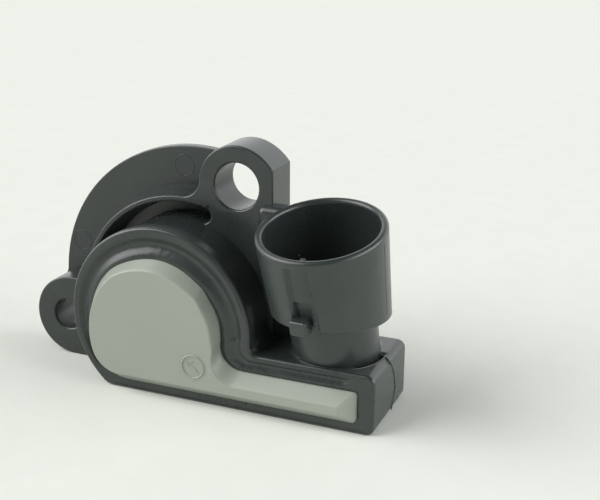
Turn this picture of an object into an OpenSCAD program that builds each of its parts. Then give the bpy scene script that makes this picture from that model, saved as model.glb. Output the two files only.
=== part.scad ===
// Rotary throttle position sensor.
// X runs along the connector foot, Y along the rotor axis, Z up from the flat base.
// The origin is on the rotor axis, in the plane of the mounting face.
// The cover side looks along -Y, the pilot collar stands out along +Y.

/* [Body] */
// Depth of the body from the mounting face to the front of the rim
body_d = 16.7; // [15.5:0.1:19]
// Radius of the round body behind the rim
body_r = 16.6; // [16:0.1:17.4]
// Radius of the rim around the cover
rim_r = 17.2; // [16.9:0.1:18.2]
// Depth of the rim before the body steps in
rim_t = 2.4; // [1.4:0.1:4]
// Width of the chamfer at the front of the rim
rim_chamfer = 0.55; // [0.2:0.05:0.8]
// Distance from the rotor axis down to the flat base
base_z = 13.35; // [12.9:0.05:14.4]
// Wall between the rotor chamber and the flat base
base_wall = 1.45; // [1:0.05:1.6]

/* [Flange and ears] */
// Thickness of the flange plate
flange_t = 2.0; // [1.4:0.1:3]
// Radius of the flange plate
flange_r = 28.1; // [26:0.1:30]
// Thickness of the ears and of the ring around the body
ear_t = 7.6; // [5:0.1:9]
// Outer radius of the ring at its front edge
ring_r = 20.4; // [20.1:0.1:21.2]
// Wall of the ring at its front edge
ring_wall = 0.9; // [0.6:0.1:1.2]
// Draft of the ring's two sides over their height
ring_draft = 0.9; // [0.2:0.1:1]
// Direction in which the groove inside the ring starts
groove_from = 76; // [70:1:90]
// Direction in which the groove inside the ring ends
groove_to = 168; // [140:1:170]
// Upper ear's centre across from the axis
upper_x = 10.75; // [10:0.05:12]
// Upper ear's centre above the axis
upper_z = 23.3; // [22.4:0.05:25]
// Outer radius of the upper ear
upper_r = 7.1; // [6.5:0.1:8]
// Radius of the oversize hole in the upper ear
upper_hole_r = 4.1; // [2.5:0.05:4.6]
// Left ear's centre across from the axis
left_x = -23.8; // [-25:0.05:-23]
// Left ear's centre above the axis
left_z = -5.65; // [-5.7:0.05:-5.25]
// Outer radius of the left ear
left_r = 7.7; // [7.2:0.1:8]
// Left ear's hole across from the axis
left_hole_x = -24.8; // [-25.2:0.05:-24]
// Left ear's hole above the axis
left_hole_z = -5.4; // [-5.7:0.05:-5]
// Radius of the pivot hole in the left ear
left_hole_r = 2.9; // [2:0.05:3.2]
// Width of the chamfer at each screw hole's mouth
hole_chamfer = 0.4; // [0.2:0.05:0.7]
// Distance of the flange's straight right side from the axis
side_x = 17.5; // [17.2:0.05:18]
// Radius that blends an ear into the ring
blend_r = 3.5; // [2.5:0.1:4]

/* [Foot and connector] */
// Distance from the axis to the end of the foot
foot_x = 39.2; // [38.6:0.1:43]
// Height of the foot's top, measured down from the axis
foot_z = 2.75; // [2.3:0.05:3.2]
// Corner radius of the foot's end
foot_r = 1.4; // [0.6:0.1:2]
// Connector's base centre across from the axis
conn_x = 29.6; // [29:0.1:30.2]
// Connector's base centre behind the mounting face
conn_y = 8.35; // [7.9:0.05:8.8]
// Lean of the connector toward the cover side
conn_lean = 13.5; // [10:0.5:15]
// Lean of the connector toward the body
conn_tilt = 2.6; // [0:0.2:4.6]
// Length of the connector along its axis, above the foot
conn_h = 23.5; // [21:0.1:26]
// Outer radius of the shroud at its mouth
shroud_r = 10.75; // [10.6:0.05:11.2]
// Outer radius of the shroud at its lower end
shroud_low_r = 9.95; // [9.6:0.05:10.3]
// Radius of the shroud's bore
shroud_bore_r = 9.4; // [8.6:0.05:9.6]
// Depth of the shroud's bore from its mouth
shroud_bore_d = 11.6; // [10.6:0.1:11.8]
// Height of the shroud's level lower end above the axis
shroud_z = 5.0; // [4.6:0.1:6]
// Radius of the rounded lip at the mouth
lip_r = 0.65; // [0.3:0.05:0.7]
// Radius of the neck between the foot and the shroud
neck_r = 7.4; // [7:0.05:7.6]
// Depth of the dish in the foot around the neck
dish_d = 0.45; // [0.3:0.05:0.8]
// Width of the dish around the neck
dish_w = 0.6; // [0.4:0.05:0.7]
// Width of the latch channel down the shroud
channel_w = 3.4; // [2.6:0.1:4.2]
// Depth of the latch channel
channel_t = 0.5; // [0.3:0.05:0.6]
// How far the latch nub stands out of the shroud
nub_t = 1.3; // [0.8:0.1:1.8]
// Height of the latch nub
nub_h = 2.7; // [1.6:0.1:2.8]

/* [Rear cover] */
// Radius of the cover's raised part where it leaves the groove
cover_r = 12.3; // [12.1:0.05:12.6]
// Height of the cover's face in front of the rim
cover_rise = 1.9; // [1.2:0.1:2.6]
// Width of the cover's bevel
cover_bevel = 1.3; // [1:0.1:1.8]
// Height of the cover's arm
cover_arm_h = 5.6; // [5.2:0.1:6]
// Thickness of the cover's hidden flange
cover_flange_t = 1.4; // [1:0.1:1.6]
// Depth of the groove where the rim meets the cover
groove_d = 0.9; // [0.8:0.05:1.3]
// Height of the date mark's thin raised lines
mark_t = 0.15; // [0.1:0.05:0.25]

/* [Rotor] */
// Radius of the rotor's hub
hub_r = 7.5; // [7.3:0.05:7.7]
// Radius of the drive socket
socket_r = 6.78; // [6.4:0.02:6.9]
// Radius of the pilot collar
collar_r = 8.6; // [8.45:0.05:8.8]
// Height of the pilot collar
collar_h = 3.5; // [2.5:0.1:5]
// How far the hub's end lies inside the collar
hub_inset = 0.3; // [0.1:0.05:0.6]
// Depth of the tall drive lugs below the hub's end
tall_lug_d = 1.7; // [1.5:0.1:2.4]
// Depth of the short drive lugs and the centre disc
short_lug_d = 5.8; // [4:0.1:6]
// Step by which the socket narrows below the tall lugs
socket_step = 0.4; // [0.3:0.05:0.6]
// Depth of the socket's floor
socket_d = 8.6; // [7.6:0.1:8.8]
// Half width of the slot between the drive lugs
lug_gap = 2.6; // [2.2:0.05:3]
// Radius of the disc at the socket's centre
socket_disc_r = 2.6; // [2:0.05:3]
// Radius of the rotor's disc
disc_r = 11.5; // [11.1:0.05:11.6]
// Thickness of the rotor's disc
disc_t = 2.0; // [1.5:0.1:2.2]
// Travel of the rotor between its stops
travel = 95; // [80:1:105]
// Angle left free at each stop
stop_free = 0.6; // [0.4:0.1:2]
// Turns of the return spring
spring_turns = 3.25; // [2.25:1:4.25]
// Radius of the return spring's wire
wire_r = 0.32; // [0.25:0.01:0.34]

/* [Element and terminals] */
// Thickness of the element board
board_t = 0.8; // [0.6:0.1:1]
// Thickness of the printed tracks
track_t = 0.1; // [0.08:0.01:0.15]
// Radius of the resistive track's middle
resist_r = 10.25; // [10.1:0.05:10.3]
// Radius of the collector track's middle
collect_r = 7.6; // [7.4:0.05:7.8]
// Width of the tracks
track_w = 1.3; // [0.9:0.05:1.4]
// Width of the terminal strips
strip_w = 0.8; // [0.6:0.05:0.9]
// Thickness of the terminal strips
strip_t = 0.5; // [0.4:0.05:0.6]
// Distance between neighbouring strips
strip_step = 1.5; // [1.4:0.05:1.55]
// Distance between neighbouring contact blades
blade_step = 4.0; // [3.4:0.1:4.4]
// Width of the contact blades
blade_w = 1.5; // [1:0.1:1.8]
// Thickness of the contact blades
blade_t = 0.8; // [0.5:0.1:0.9]
// Length of the blades above the shroud's floor
blade_h = 5.4; // [4:0.1:9]

/* [Clearances] */
// Radial clearance of the rotor in its bearing
bearing_gap = 0.05; // [0.03:0.01:0.1]
// Clearance around the cover's hidden flange
cover_gap = 0.15; // [0.1:0.01:0.25]
// Clearance around a terminal in its tunnel
strip_gap = 0.05; // [0.03:0.01:0.08]
// Gap between a wiper finger and its track
wiper_gap = 0.06; // [0.04:0.01:0.1]
// Gap at the spring's ends and around its legs
spring_gap = 0.2; // [0.15:0.01:0.25]
// Smoothness of round parts
$fn = 96; // [48:8:128]

/* [Hidden] */

e = 0.01;
big = 200;
rim_y = -body_d;
ear_y = -ear_t;
flange_y = -flange_t;

// Depths of the layers behind the cover, counted from the rim's front
cover_seat_y = rim_y + groove_d + cover_flange_t + cover_gap;
board_front_y = rim_y + 3.7;
board_back_y = board_front_y + board_t;
track_y = board_back_y + track_t;
chamber_r = base_z - base_wall;
floor_y = -1.8;
seat_r = 14.3;
seat_low = 12.1;
arm_mid = (base_z + foot_z) / 2;
strip_mid = 8.5;
disc_rear_y = track_y + 3.1;
disc_front_y = disc_rear_y + disc_t;
washer_room = 0.8;
boss_y = disc_front_y + washer_room;
boss_r = 9.0;
hub_end_y = collar_h - hub_inset;

// Cover outline: main round, lower left corner and inner blend of the arm
cover_cx = -0.85;
cover_cz = -0.65;
face_cx = -0.6;
face_cz = -0.75;
cover_low = 11.5;
cover_arm_top = cover_low - cover_arm_h;
cover_end_x = foot_x - 3.2;
blend_cover_r = 4;
cover_face_y = rim_y - cover_rise;
groove_y = rim_y + groove_d;

// Upright clearance of the spring's coil between the chamber floor and the disc
spring_r = 9.75;
spring_y0 = floor_y - wire_r - spring_gap;
spring_y1 = disc_front_y + wire_r + spring_gap + 0.5;
spring_leg = 120;
spring_end = spring_leg + 360 * spring_turns;

// Stops: the rotor's lug and the housing's two ribs
lug_angle = 200;
lug_half = 9;
rib_w = 1.4;

// Room below the strips for the printed leads, and the height of that room's top
lead_room = 2.6;
cover_arm_low = -4.6;
board_holes = [for (i = [0:2]) [18 - 3.5 * i, -strip_mid + strip_step * (1 - i)]];

// Heights on the connector's axis: the bore's floor, the latch pocket and the nub's top
blade_h0 = conn_h - shroud_bore_d;
bore_draft = 0.35;
pocket_top = conn_h - 8;
nub_top = conn_h - 10.9;
channel_angle = -93;
nub_angle = -97;

// Directions: where the ring's own wall starts, and where the wiper stands at rest
upper_angle = 83;
wiper_angle = 150;

function polar(r, a) = [r * cos(a), r * sin(a)];

// Centre of a circle of radius f that touches circle (a, ra) and circle (b, rb) from outside
function touch(a, ra, b, rb, f, s) =
    let (d = norm(b - a), u = (b - a) / d, m = ra + f, n = rb + f,
         k = (m * m - n * n + d * d) / (2 * d), h = sqrt(m * m - k * k))
    a + u * k + s * h * [-u[1], u[0]];

// Pie slice from angle a0 to a1
module slice(r, a0, a1) {
    n = max(2, ceil((a1 - a0) / 30));
    polygon(concat([[0, 0]], [for (i = [0:n]) polar(r, a0 + (a1 - a0) * i / n)]));
}

// Flat shape in the XZ plane, given depth from y0 (front) to y1 (back)
module slab(y0, y1) {
    translate([0, y1, 0]) rotate([90, 0, 0]) linear_extrude(y1 - y0) children();
}

// Round bar along Y from y0 (front) to y1 (back)
module rod(r, y0, y1, at = [0, 0]) {
    translate([at[0], y1, at[1]]) rotate([90, 0, 0]) cylinder(r = r, h = y1 - y0);
}

// Cone along Y with radius r0 at y0 (front) and r1 at y1 (back)
module taper(r0, y0, r1, y1, at = [0, 0]) {
    translate([at[0], y1, at[1]]) rotate([90, 0, 0]) cylinder(r1 = r1, r2 = r0, h = y1 - y0);
}

// Everything above the flat base
module above_base(low = base_z) {
    intersection() {
        children();
        translate([-big / 2, -low]) square([big, big]);
    }
}

// Rounded bar between two points
module bar2d(p, q, w) {
    for (c = [p, q]) translate(c) circle(d = w, $fn = 24);
    translate(p) rotate(atan2(q[1] - p[1], q[0] - p[0])) translate([0, -w / 2]) square([norm(q - p), w]);
}

// Path of rounded bars
module path2d(pts, w) {
    for (i = [0:len(pts) - 2]) bar2d(pts[i], pts[i + 1], w);
}

// Ring sector between two radii
module sector2d(r0, r1, a0, a1) {
    intersection() {
        difference() {
            circle(r1);
            circle(r0);
        }
        slice(2 * r1, a0, a1);
    }
}

// Frame of the connector: origin at its base centre, Z along its axis
module on_connector() {
    translate([conn_x, -conn_y, -foot_z]) rotate([conn_lean, -conn_tilt, 0]) children();
}

// Where a ray up the connector's axis stands at height z
function conn_at(z) =
    let (t = z + foot_z)
    [conn_x - t * tan(conn_tilt) , -conn_y - t * tan(conn_lean) / cos(conn_tilt)];

// Outline of the arm and foot below the connector
module foot2d() {
    translate([0, -base_z]) square([foot_x - foot_r, base_z - foot_z]);
    translate([0, -base_z + foot_r]) square([foot_x, base_z - foot_z - 2 * foot_r]);
    for (z = [-base_z + foot_r, -foot_z - foot_r]) translate([foot_x - foot_r, z]) circle(foot_r, $fn = 48);
}

// Fills the corner between two circles with a concave blend
module blend2d(a, ra, b, rb, f, s) {
    c = touch(a, ra, b, rb, f, s);
    difference() {
        polygon([a, a + (c - a) * ra / (ra + f), c, b + (c - b) * rb / (rb + f), b]);
        translate(c) circle(f);
    }
}

// Outline that the ears, the ring and the solid side share
module raised2d(ring) {
    above_base() intersection() {
        union() {
            translate([upper_x, upper_z]) circle(upper_r);
            translate([upper_x - upper_r, 0]) square([upper_r * 2, upper_z]);
            blend2d([0, 0], ring, [upper_x, upper_z], upper_r, blend_r, 1);
            translate([left_x, left_z]) circle(left_r);
            translate([left_x, -base_z]) square([-left_x, left_z + left_r + base_z]);
            translate([0, -base_z]) square([side_x, base_z + upper_z]);
        }
        translate([-big, -big]) square([big + side_x, 2 * big]);
    }
}

// Flange plate's outline
module flange2d() {
    above_base() intersection() {
        union() {
            circle(flange_r, $fn = 144);
            blend2d([0, 0], flange_r, [left_x, left_z], left_r, 2.2, -1);
            blend2d([0, 0], flange_r, [upper_x, upper_z], upper_r, 1.2, 1);
        }
        translate([-big, -big]) square([big + side_x, 2 * big]);
    }
    raised2d(ring_r);
}

// Points of an arc, without its first one
function arc(c, r, a0, a1, n) = [for (i = [1:n]) c + polar(r, a0 + (a1 - a0) * i / n)];

// Outline of a round with an arm to the right, grown by g: centre and radius of the round, larger radius
// of its left side, corner radius, depth of the flat bottom, end and top of the arm, inner blend
function outline(c, r, side, corner, low, end, top, blend, g) =
    let (b = c + (r - side) * polar(1, 135),
         k = [b[0] - sqrt(pow(side - corner, 2) - pow(corner - low - b[1], 2)), corner - low],
         t = [c[0] + sqrt(pow(r + blend, 2) - pow(top + blend - c[1], 2)), top + blend],
         a = atan2(c[1] - t[1], c[0] - t[0]), m = 360 + atan2(k[1] - b[1], k[0] - b[0]))
    concat([[c[0] + 8, -low - g], [end + g, -low - g], [end + g, top + g - 0.4],
            [end + g - 0.4, top + g], [t[0], top + g]],
        arc(t, blend - g, 270, a, 8), arc(c, r + g, a - 180, 135, 24),
        arc(b, side + g, 135, m, 16), arc(k, corner + g, m, 270, 8));

function cover_outline(g) = outline([cover_cx, cover_cz], cover_r, cover_r + 2.65, 6.5, cover_low,
    cover_end_x, -cover_arm_top, blend_cover_r, g);

// Face of the cover: its outline set in by the bevel, with a narrow strip along the arm
function face_outline() = outline([face_cx, face_cz], cover_r - cover_bevel, cover_r + 2.65 - cover_bevel,
    6.5 - cover_bevel, cover_low - cover_bevel, cover_end_x - 2.6, 1.8 + cover_bevel - cover_low, 4.2, 0);

// Front edge of the rim's sloped groove
function rim_outline() = outline([0, 0], body_r - 0.5, body_r - 0.5, 3, base_z - 0.5, foot_x - 0.6,
    -foot_z - 0.6, 2, 0);

// Solid between a front outline at y0 and a back outline at y1, each seen whole from its first point
module loft(front, y0, back, y1) {
    n = len(front);
    polyhedron(concat([for (p = front) [p[0], y0, p[1]]], [for (p = back) [p[0], y1, p[1]]]),
        concat([for (i = [1:n - 2]) [0, i + 1, i]], [for (i = [1:n - 2]) [n, n + i, n + i + 1]],
            [for (i = [0:n - 1]) [i, (i + 1) % n, n + i]],
            [for (i = [0:n - 1]) [(i + 1) % n, n + (i + 1) % n, n + i]]));
}

// Round seat behind the rim, shared by the cover's flange and the board
module seat2d(g = 0) {
    above_base(seat_low - g) circle(seat_r - g);
    translate([0, -seat_low + g]) square([foot_x - 1.6 - g, seat_low - foot_z - 1.6 - 2 * g]);
}

// Mouth profile of the shroud, turned about the connector's axis
module shroud() {
    top = conn_h - lip_r;
    rotate_extrude() difference() {
        union() {
            polygon([[0, 0], [shroud_low_r, 0], [shroud_low_r, shroud_z + foot_z], [shroud_r, top],
                     [shroud_r - 2 * lip_r, top], [0, top]]);
            translate([shroud_r - lip_r, top]) circle(lip_r, $fn = 32);
        }
        translate([0, top]) square([shroud_r - lip_r - lip_r, 2 * lip_r]);
    }
}

// Block of a latch or channel feature on the shroud, in direction a
module latch_block(a, r0, r1, z0, z1, w) {
    rotate([0, 0, a]) translate([r0, -w / 2, z0]) cube([r1 - r0, w, z1 - z0]);
}

module connector() {
    difference() {
        on_connector() shroud();
        translate([-big / 2, -big / 2, shroud_z - big]) cube([big, big, big]);
        on_connector() {
            translate([0, 0, blade_h0])
                cylinder(r1 = shroud_bore_r - bore_draft, r2 = shroud_bore_r, h = shroud_bore_d + e);
            latch_block(channel_angle, shroud_r - channel_t, big, pocket_top - e, conn_h - 2 * lip_r, channel_w);
            latch_block(channel_angle, shroud_low_r - 0.25, big, nub_top, pocket_top, channel_w);
        }
    }
    on_connector() {
        latch_block(nub_angle, shroud_low_r - 0.4, shroud_low_r + nub_t, nub_top - nub_h, nub_top, channel_w - 0.3);
        translate([0, 0, -2]) cylinder(r = neck_r, h = blade_h0 + 2);
    }
}

// Key rib on the inside of the shroud, opposite the latch
module key_rib() {
    on_connector() intersection() {
        difference() {
            cylinder(r = shroud_bore_r + 0.3, h = conn_h - 1.6);
            translate([0, 0, -1]) cylinder(r = shroud_bore_r - 1, h = conn_h + 2);
        }
        translate([0, 0, blade_h0 - 1]) linear_extrude(conn_h) slice(2 * shroud_r, -95, -45);
    }
}

// Sloped walls of the groove between rim and cover
module rim_groove() loft(rim_outline(), rim_y - e, cover_outline(0.04), groove_y);

// Straight tunnel for one terminal: across the foot and up the connector's axis
module terminal_run(i, g) {
    hole = board_holes[i];
    z = hole[1];
    at = conn_at(z);
    x = at[0] + blade_step * (1 - i);
    translate([x - blade_w / 2 - g, board_front_y - strip_t - g, z - strip_w / 2 - g])
        cube([blade_w + 2 * g, at[1] - board_front_y + strip_t + blade_t + 2 * g, strip_w + 2 * g]);
    on_connector() translate([blade_step * (1 - i) - blade_w / 2 - g, -blade_t / 2 - g, z + foot_z - 0.4])
        cube([blade_w + 2 * g, blade_t + 2 * g, blade_h0 + foot_z - z - foot_z + 0.4 + blade_h]);
}

module housing() color([0.07, 0.075, 0.08]) {
    difference() {
        union() {
            // rim with its front chamfer
            above_base_solid() {
                taper(rim_r - rim_chamfer, rim_y, rim_r, rim_y + rim_chamfer);
                rod(rim_r, rim_y + rim_chamfer, rim_y + rim_t);
                rod(body_r, rim_y, e);
            }
            slab(rim_y, 0) foot2d();
            slab(flange_y, 0) flange2d();
            slab(ear_y, 0) raised2d(ring_r);
            // ring with drafted sides
            intersection() {
                taper(ring_r, ear_y, ring_r + ring_draft, flange_y + e);
                slab(ear_y, 0) slice(2 * ring_r, upper_angle, 180);
            }
            rod(collar_r, -e, collar_h);
            connector();
            key_rib();
        }
        groove_inside_ring();
        screw_hole([upper_x, upper_z], upper_hole_r);
        screw_hole([left_hole_x, left_hole_z], left_hole_r);
        rim_groove();
        slab(groove_y - e, cover_seat_y) polygon(cover_outline(cover_gap / 2));
        slab(groove_y + 0.2, board_back_y) seat2d();
        // room behind the board for the printed leads and the rivets
        slab(board_back_y - e, board_back_y + track_t + 0.1) above_base(seat_low - 0.3) circle(12.8);
        slab(board_back_y - e, board_back_y + 0.5) translate([4, -strip_mid - lead_room])
            square([board_holes[0][0] - 2.6, lead_room + strip_mid + cover_arm_low]);
        rod(chamber_r, board_back_y - e, floor_y);
        rod(hub_r + bearing_gap, floor_y - e, collar_h + 1);
        dish();
        for (i = [0:2]) terminal_run(i, strip_gap);
        spring_slot();
    }
    // bearing boss
    difference() {
        rod(boss_r, boss_y, floor_y + e);
        rod(hub_r + bearing_gap, boss_y - 1, floor_y + 1);
    }
    stop_ribs();
}

module above_base_solid() {
    intersection() {
        union() children();
        translate([-big / 2, -big / 2, -base_z]) cube([big, big, big]);
    }
}

// Groove between the body and the ring, open to the front
module groove_inside_ring() {
    inner = ring_r - ring_wall;
    mid = (body_r + inner) / 2;
    difference() {
        intersection() {
            taper(inner + e, ear_y - e, inner - ring_draft, flange_y);
            slab(ear_y - 1, 0) slice(2 * ring_r, groove_from, groove_to);
        }
        rod(body_r, ear_y - 1, 0);
    }
    for (a = [groove_from, groove_to]) {
        rod((inner - body_r) / 2, ear_y - e, flange_y, polar(mid, a));
    }
}

module screw_hole(at, r) {
    rod(r, ear_y - 1, 1, at);
    taper(r + hole_chamfer, ear_y - e, r, ear_y + hole_chamfer, at);
    taper(r, -hole_chamfer, r + hole_chamfer, e, at);
}

// Shallow dish in the foot's top around the neck
module dish() {
    difference() {
        translate([conn_x, -conn_y, -foot_z - dish_d]) cylinder(r = neck_r + dish_w, h = dish_d + 1);
        on_connector() translate([0, 0, -3]) cylinder(r = neck_r, h = 10);
    }
}

// Ribs in the chamber that stop the rotor's lug
module stop_ribs() {
    for (s = [-1, 1]) {
        a = s > 0 ? lug_angle + lug_half + stop_free : lug_angle - travel - lug_half - stop_free;
        intersection() {
            slab(boss_y + 0.3, floor_y + e) difference() {
                circle(chamber_r + 0.3);
                circle(chamber_r - 1.3);
            }
            slab(boss_y + 0.3, floor_y + e)
                rotate(a) translate([0, s > 0 ? 0 : -rib_w]) square([big, rib_w]);
        }
    }
}

// Slot in the chamber's wall that holds the spring's fixed leg
module spring_slot() {
    slot = wire_r + spring_gap;
    translate([0, spring_y0, 0]) rotate([0, -spring_leg, 0]) translate([chamber_r - 1, 0, 0])
        translate([0, -slot, -slot]) cube([2.4, 2 * slot, 2 * slot]);
}

module rear_cover() color([0.55, 0.57, 0.57]) {
    difference() {
        union() {
            slab(groove_y + 0.2 + cover_gap, cover_seat_y - cover_gap) seat2d(cover_gap);
            slab(groove_y - 0.5, cover_seat_y - cover_gap) polygon(cover_outline(-0.05));
            loft(face_outline(), cover_face_y, cover_outline(0), groove_y);
            date_mark();
        }
        // inner recess over the board
        slab(cover_seat_y - cover_gap - 0.5, cover_seat_y) above_base(seat_low - 1.6) circle(seat_r - 1.6);
    }
}

// Plain raised ring with a pointer, low on the cover's face
module date_mark() {
    at = [7.5, -5.7];
    r = 2.05;
    slab(cover_face_y - mark_t, cover_face_y + e) translate(at) {
        difference() {
            circle(r, $fn = 48);
            circle(r - 0.2, $fn = 48);
        }
        rotate(135) path2d([[-1.6, 0], [1.4, 0]], 0.2);
        rotate(135) path2d([[0.7, 0.6], [1.4, 0], [0.7, -0.6]], 0.2);
    }
}

// Bead of sealant between the cover's flange and the seat
module cover_sealant() color([0.16, 0.16, 0.17]) {
    slab(cover_seat_y - cover_gap + 0.02, cover_seat_y + 0.25) difference() {
        above_base(seat_low - 0.4) circle(seat_r - 0.4);
        above_base(seat_low - 1.2) circle(seat_r - 1.2);
        translate([0, -seat_low]) square([big, seat_low - foot_z - 0.8]);
    }
}

module element_board() color([0.8, 0.79, 0.72]) difference() {
    slab(board_front_y, board_back_y - 0.02) {
        above_base(seat_low - 0.15) circle(seat_r - 0.15);
        translate([0, -strip_mid - 2.4]) square([board_holes[0][0] + 2, 4.8]);
    }
    for (h = board_holes) rod(0.55, board_front_y - 1, board_back_y + 1, h);
}

module resistive_track() color([0.1, 0.1, 0.11]) slab(board_back_y, track_y)
    sector2d(resist_r - track_w / 2, resist_r + track_w / 2, 0, 235);

module collector_track() color([0.15, 0.15, 0.16]) slab(board_back_y, track_y)
    sector2d(collect_r - track_w / 2, collect_r + track_w / 2, 0, 235);

module conductor_a() color([0.78, 0.77, 0.74]) print_lead(board_holes[0],
    [[resist_r, -0.56], [resist_r + 0.9, -4.5], [12.9, board_holes[0][1]], board_holes[0]]);

module conductor_b() color([0.78, 0.77, 0.74]) print_lead(board_holes[1],
    [[collect_r, -0.56], [collect_r + 1.2, -5.2], [11.8, board_holes[1][1]], board_holes[1]]);

module conductor_c() color([0.78, 0.77, 0.74]) print_lead(board_holes[2],
    [polar(resist_r, 238.2), [-4, -10.4], [8, -10.4], board_holes[2]]);

// One printed lead from a track's end to its rivet hole
module print_lead(hole, pts) slab(board_back_y, track_y) difference() {
    path2d(pts, 1.0);
    translate(hole) circle(0.55, $fn = 24);
}

// Rivet that clamps a terminal's eye to the board
module rivet(i) color([0.72, 0.62, 0.38]) {
    at = board_holes[i];
    rod(0.5, board_front_y - strip_t - 0.3, track_y + 0.3, at);
    rod(0.9, board_front_y - strip_t - 0.3, board_front_y - strip_t - 0.01, at);
    rod(0.8, track_y + 0.01, track_y + 0.3, at);
}

module rivet_a() rivet(0);
module rivet_b() rivet(1);
module rivet_c() rivet(2);

// Terminal: eye on the board, strip along the arm, tail up through the foot, blade in the shroud
module terminal(i) color([0.76, 0.74, 0.68]) {
    hole = board_holes[i];
    z = hole[1];
    at = conn_at(z);
    x = at[0] + blade_step * (1 - i);
    difference() {
        union() {
            slab(board_front_y - strip_t, board_front_y - 0.01) {
                translate(hole) circle(0.75, $fn = 32);
                translate([hole[0], z - strip_w / 2]) square([x + blade_w / 2 - hole[0], strip_w]);
            }
            translate([x - blade_w / 2, board_front_y - strip_t, z - strip_w / 2])
                cube([blade_w, at[1] - board_front_y + strip_t + blade_t / 2, strip_w]);
        }
        rod(0.55, board_front_y - 2, board_back_y, hole);
    }
    on_connector() translate([blade_step * (1 - i), 0, 0]) {
        translate([-blade_w / 2, -blade_t / 2, z + foot_z])
            cube([blade_w, blade_t, blade_h0 - z - foot_z + blade_h - 0.8]);
        translate([0, 0, blade_h0 + blade_h - 0.8 - e]) rotate([90, 0, 0])
            translate([0, 0, -blade_t / 2]) linear_extrude(blade_t)
                polygon([[-blade_w / 2, 0], [blade_w / 2, 0], [blade_w / 4, 0.8], [-blade_w / 4, 0.8]]);
    }
}

module terminal_a() terminal(0);
module terminal_b() terminal(1);
module terminal_c() terminal(2);

// Potting over the strips where they enter the foot
module terminal_seal() color([0.2, 0.2, 0.2]) difference() {
    slab(board_front_y - strip_t - 0.35, board_back_y - 0.05)
        translate([board_holes[0][0] + 2.2, -strip_mid - 3.3]) square([cover_end_x - board_holes[0][0] - 3, 6.2]);
    for (i = [0:2]) {
        z = board_holes[i][1];
        at = conn_at(z);
        x = at[0] + blade_step * (1 - i);
        translate([0, board_front_y - strip_t - 0.02, z - strip_w / 2 - 0.02])
            cube([x + blade_w / 2 + 0.02, strip_t + 0.03, strip_w + 0.04]);
        translate([x - blade_w / 2 - 0.02, board_front_y - strip_t - 0.02, z - strip_w / 2 - 0.02])
            cube([blade_w + 0.04, 6, strip_w + 0.04]);
    }
}

// One pair of drive lugs, left standing between two crossed slots
module lugs2d(a) {
    intersection() {
        circle(socket_r + 0.2);
        for (s = [0, 180]) rotate(a + s) polygon([[lug_gap * sqrt(2), 0], [big, big], [big, -big]]);
    }
}

module rotor() color([0.9, 0.9, 0.88]) difference() {
    union() {
        difference() {
            rod(hub_r, disc_rear_y + 0.2, hub_end_y);
            rod(socket_r - socket_step, hub_end_y - socket_d, hub_end_y + 1);
            rod(socket_r, hub_end_y - tall_lug_d, hub_end_y + 1);
        }
        slab(hub_end_y - socket_d - e, hub_end_y - tall_lug_d - 0.1) lugs2d(50);
        slab(hub_end_y - socket_d - e, hub_end_y - short_lug_d) {
            lugs2d(138);
            circle(socket_disc_r);
        }
        rod(disc_r, disc_rear_y, disc_front_y);
        rod(1.5, track_y + 0.15, disc_rear_y + e);
        // stop lug
        slab(disc_front_y - e, boss_y + 1.6) sector2d(disc_r - 0.8, disc_r - 0.05, lug_angle - lug_half,
            lug_angle + lug_half);
    }
    // hole for the spring's moving leg
    rod(wire_r + spring_gap, disc_rear_y - 1, disc_front_y + 1, polar(spring_r, spring_end));
}

// Wiper: a stamped plate on the rotor's disc with two fingers, bent down to the tracks
module wiper() color([0.8, 0.66, 0.36]) rotate([0, -wiper_angle, 0]) {
    plate_t = 0.3;
    drop = disc_rear_y - plate_t - track_y - wiper_gap;
    reach = 3.2;
    finger_w = 0.7;
    slope = atan2(drop - 0.25, reach);
    slab(disc_rear_y - plate_t, disc_rear_y - 0.01) translate([collect_r - 0.9, -reach - 1.2])
        square([resist_r - collect_r + 1.25, 1.6]);
    for (r = [collect_r, resist_r]) {
        translate([r - finger_w / 2, disc_rear_y - plate_t, -reach]) rotate([slope, 0, 0])
            cube([finger_w, 0.25, reach / cos(slope) + 0.1]);
        translate([r - finger_w / 2, track_y + wiper_gap + 0.3, 0]) rotate([0, 90, 0])
            cylinder(r = 0.3, h = finger_w, $fn = 24);
    }
}

// Point on the spring's wire, u from 0 to 1 along the coil
function coil(u) =
    let (a = spring_leg + 360 * spring_turns * u, y = spring_y0 + (spring_y1 - spring_y0) * u)
    [spring_r * cos(a), y, spring_r * sin(a)];

module return_spring() color([0.75, 0.76, 0.78]) {
    n = ceil(spring_turns * 32);
    k = 8;
    pts = [for (i = [0:n]) let (u = i / n, a = spring_leg + 360 * spring_turns * u)
        for (j = [0:k - 1]) let (b = 360 * j / k)
            coil(u) + wire_r * [cos(b) * cos(a), sin(b), cos(b) * sin(a)]];
    sides = [for (i = [0:n - 1]) for (j = [0:k - 1])
        [i * k + j, (i + 1) * k + j, (i + 1) * k + (j + 1) % k, i * k + (j + 1) % k]];
    polyhedron(pts, concat(sides, [[for (j = [0:k - 1]) j], [for (j = [k - 1:-1:0]) n * k + j]]));
    // fixed leg, out into the chamber's wall
    translate(coil(0)) rotate([0, -spring_leg, 0]) rotate([0, 90, 0])
        translate([0, 0, -wire_r - 0.1]) cylinder(r = wire_r + 0.03, h = chamber_r - spring_r + 1.4, $fn = 16);
    // moving leg, forward into the rotor's disc
    p = coil(1);
    translate([p[0], spring_y1 + wire_r + 0.1, p[2]]) rotate([90, 0, 0])
        cylinder(r = wire_r + 0.03, h = spring_y1 - disc_front_y + 1.9, $fn = 16);
}

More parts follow.
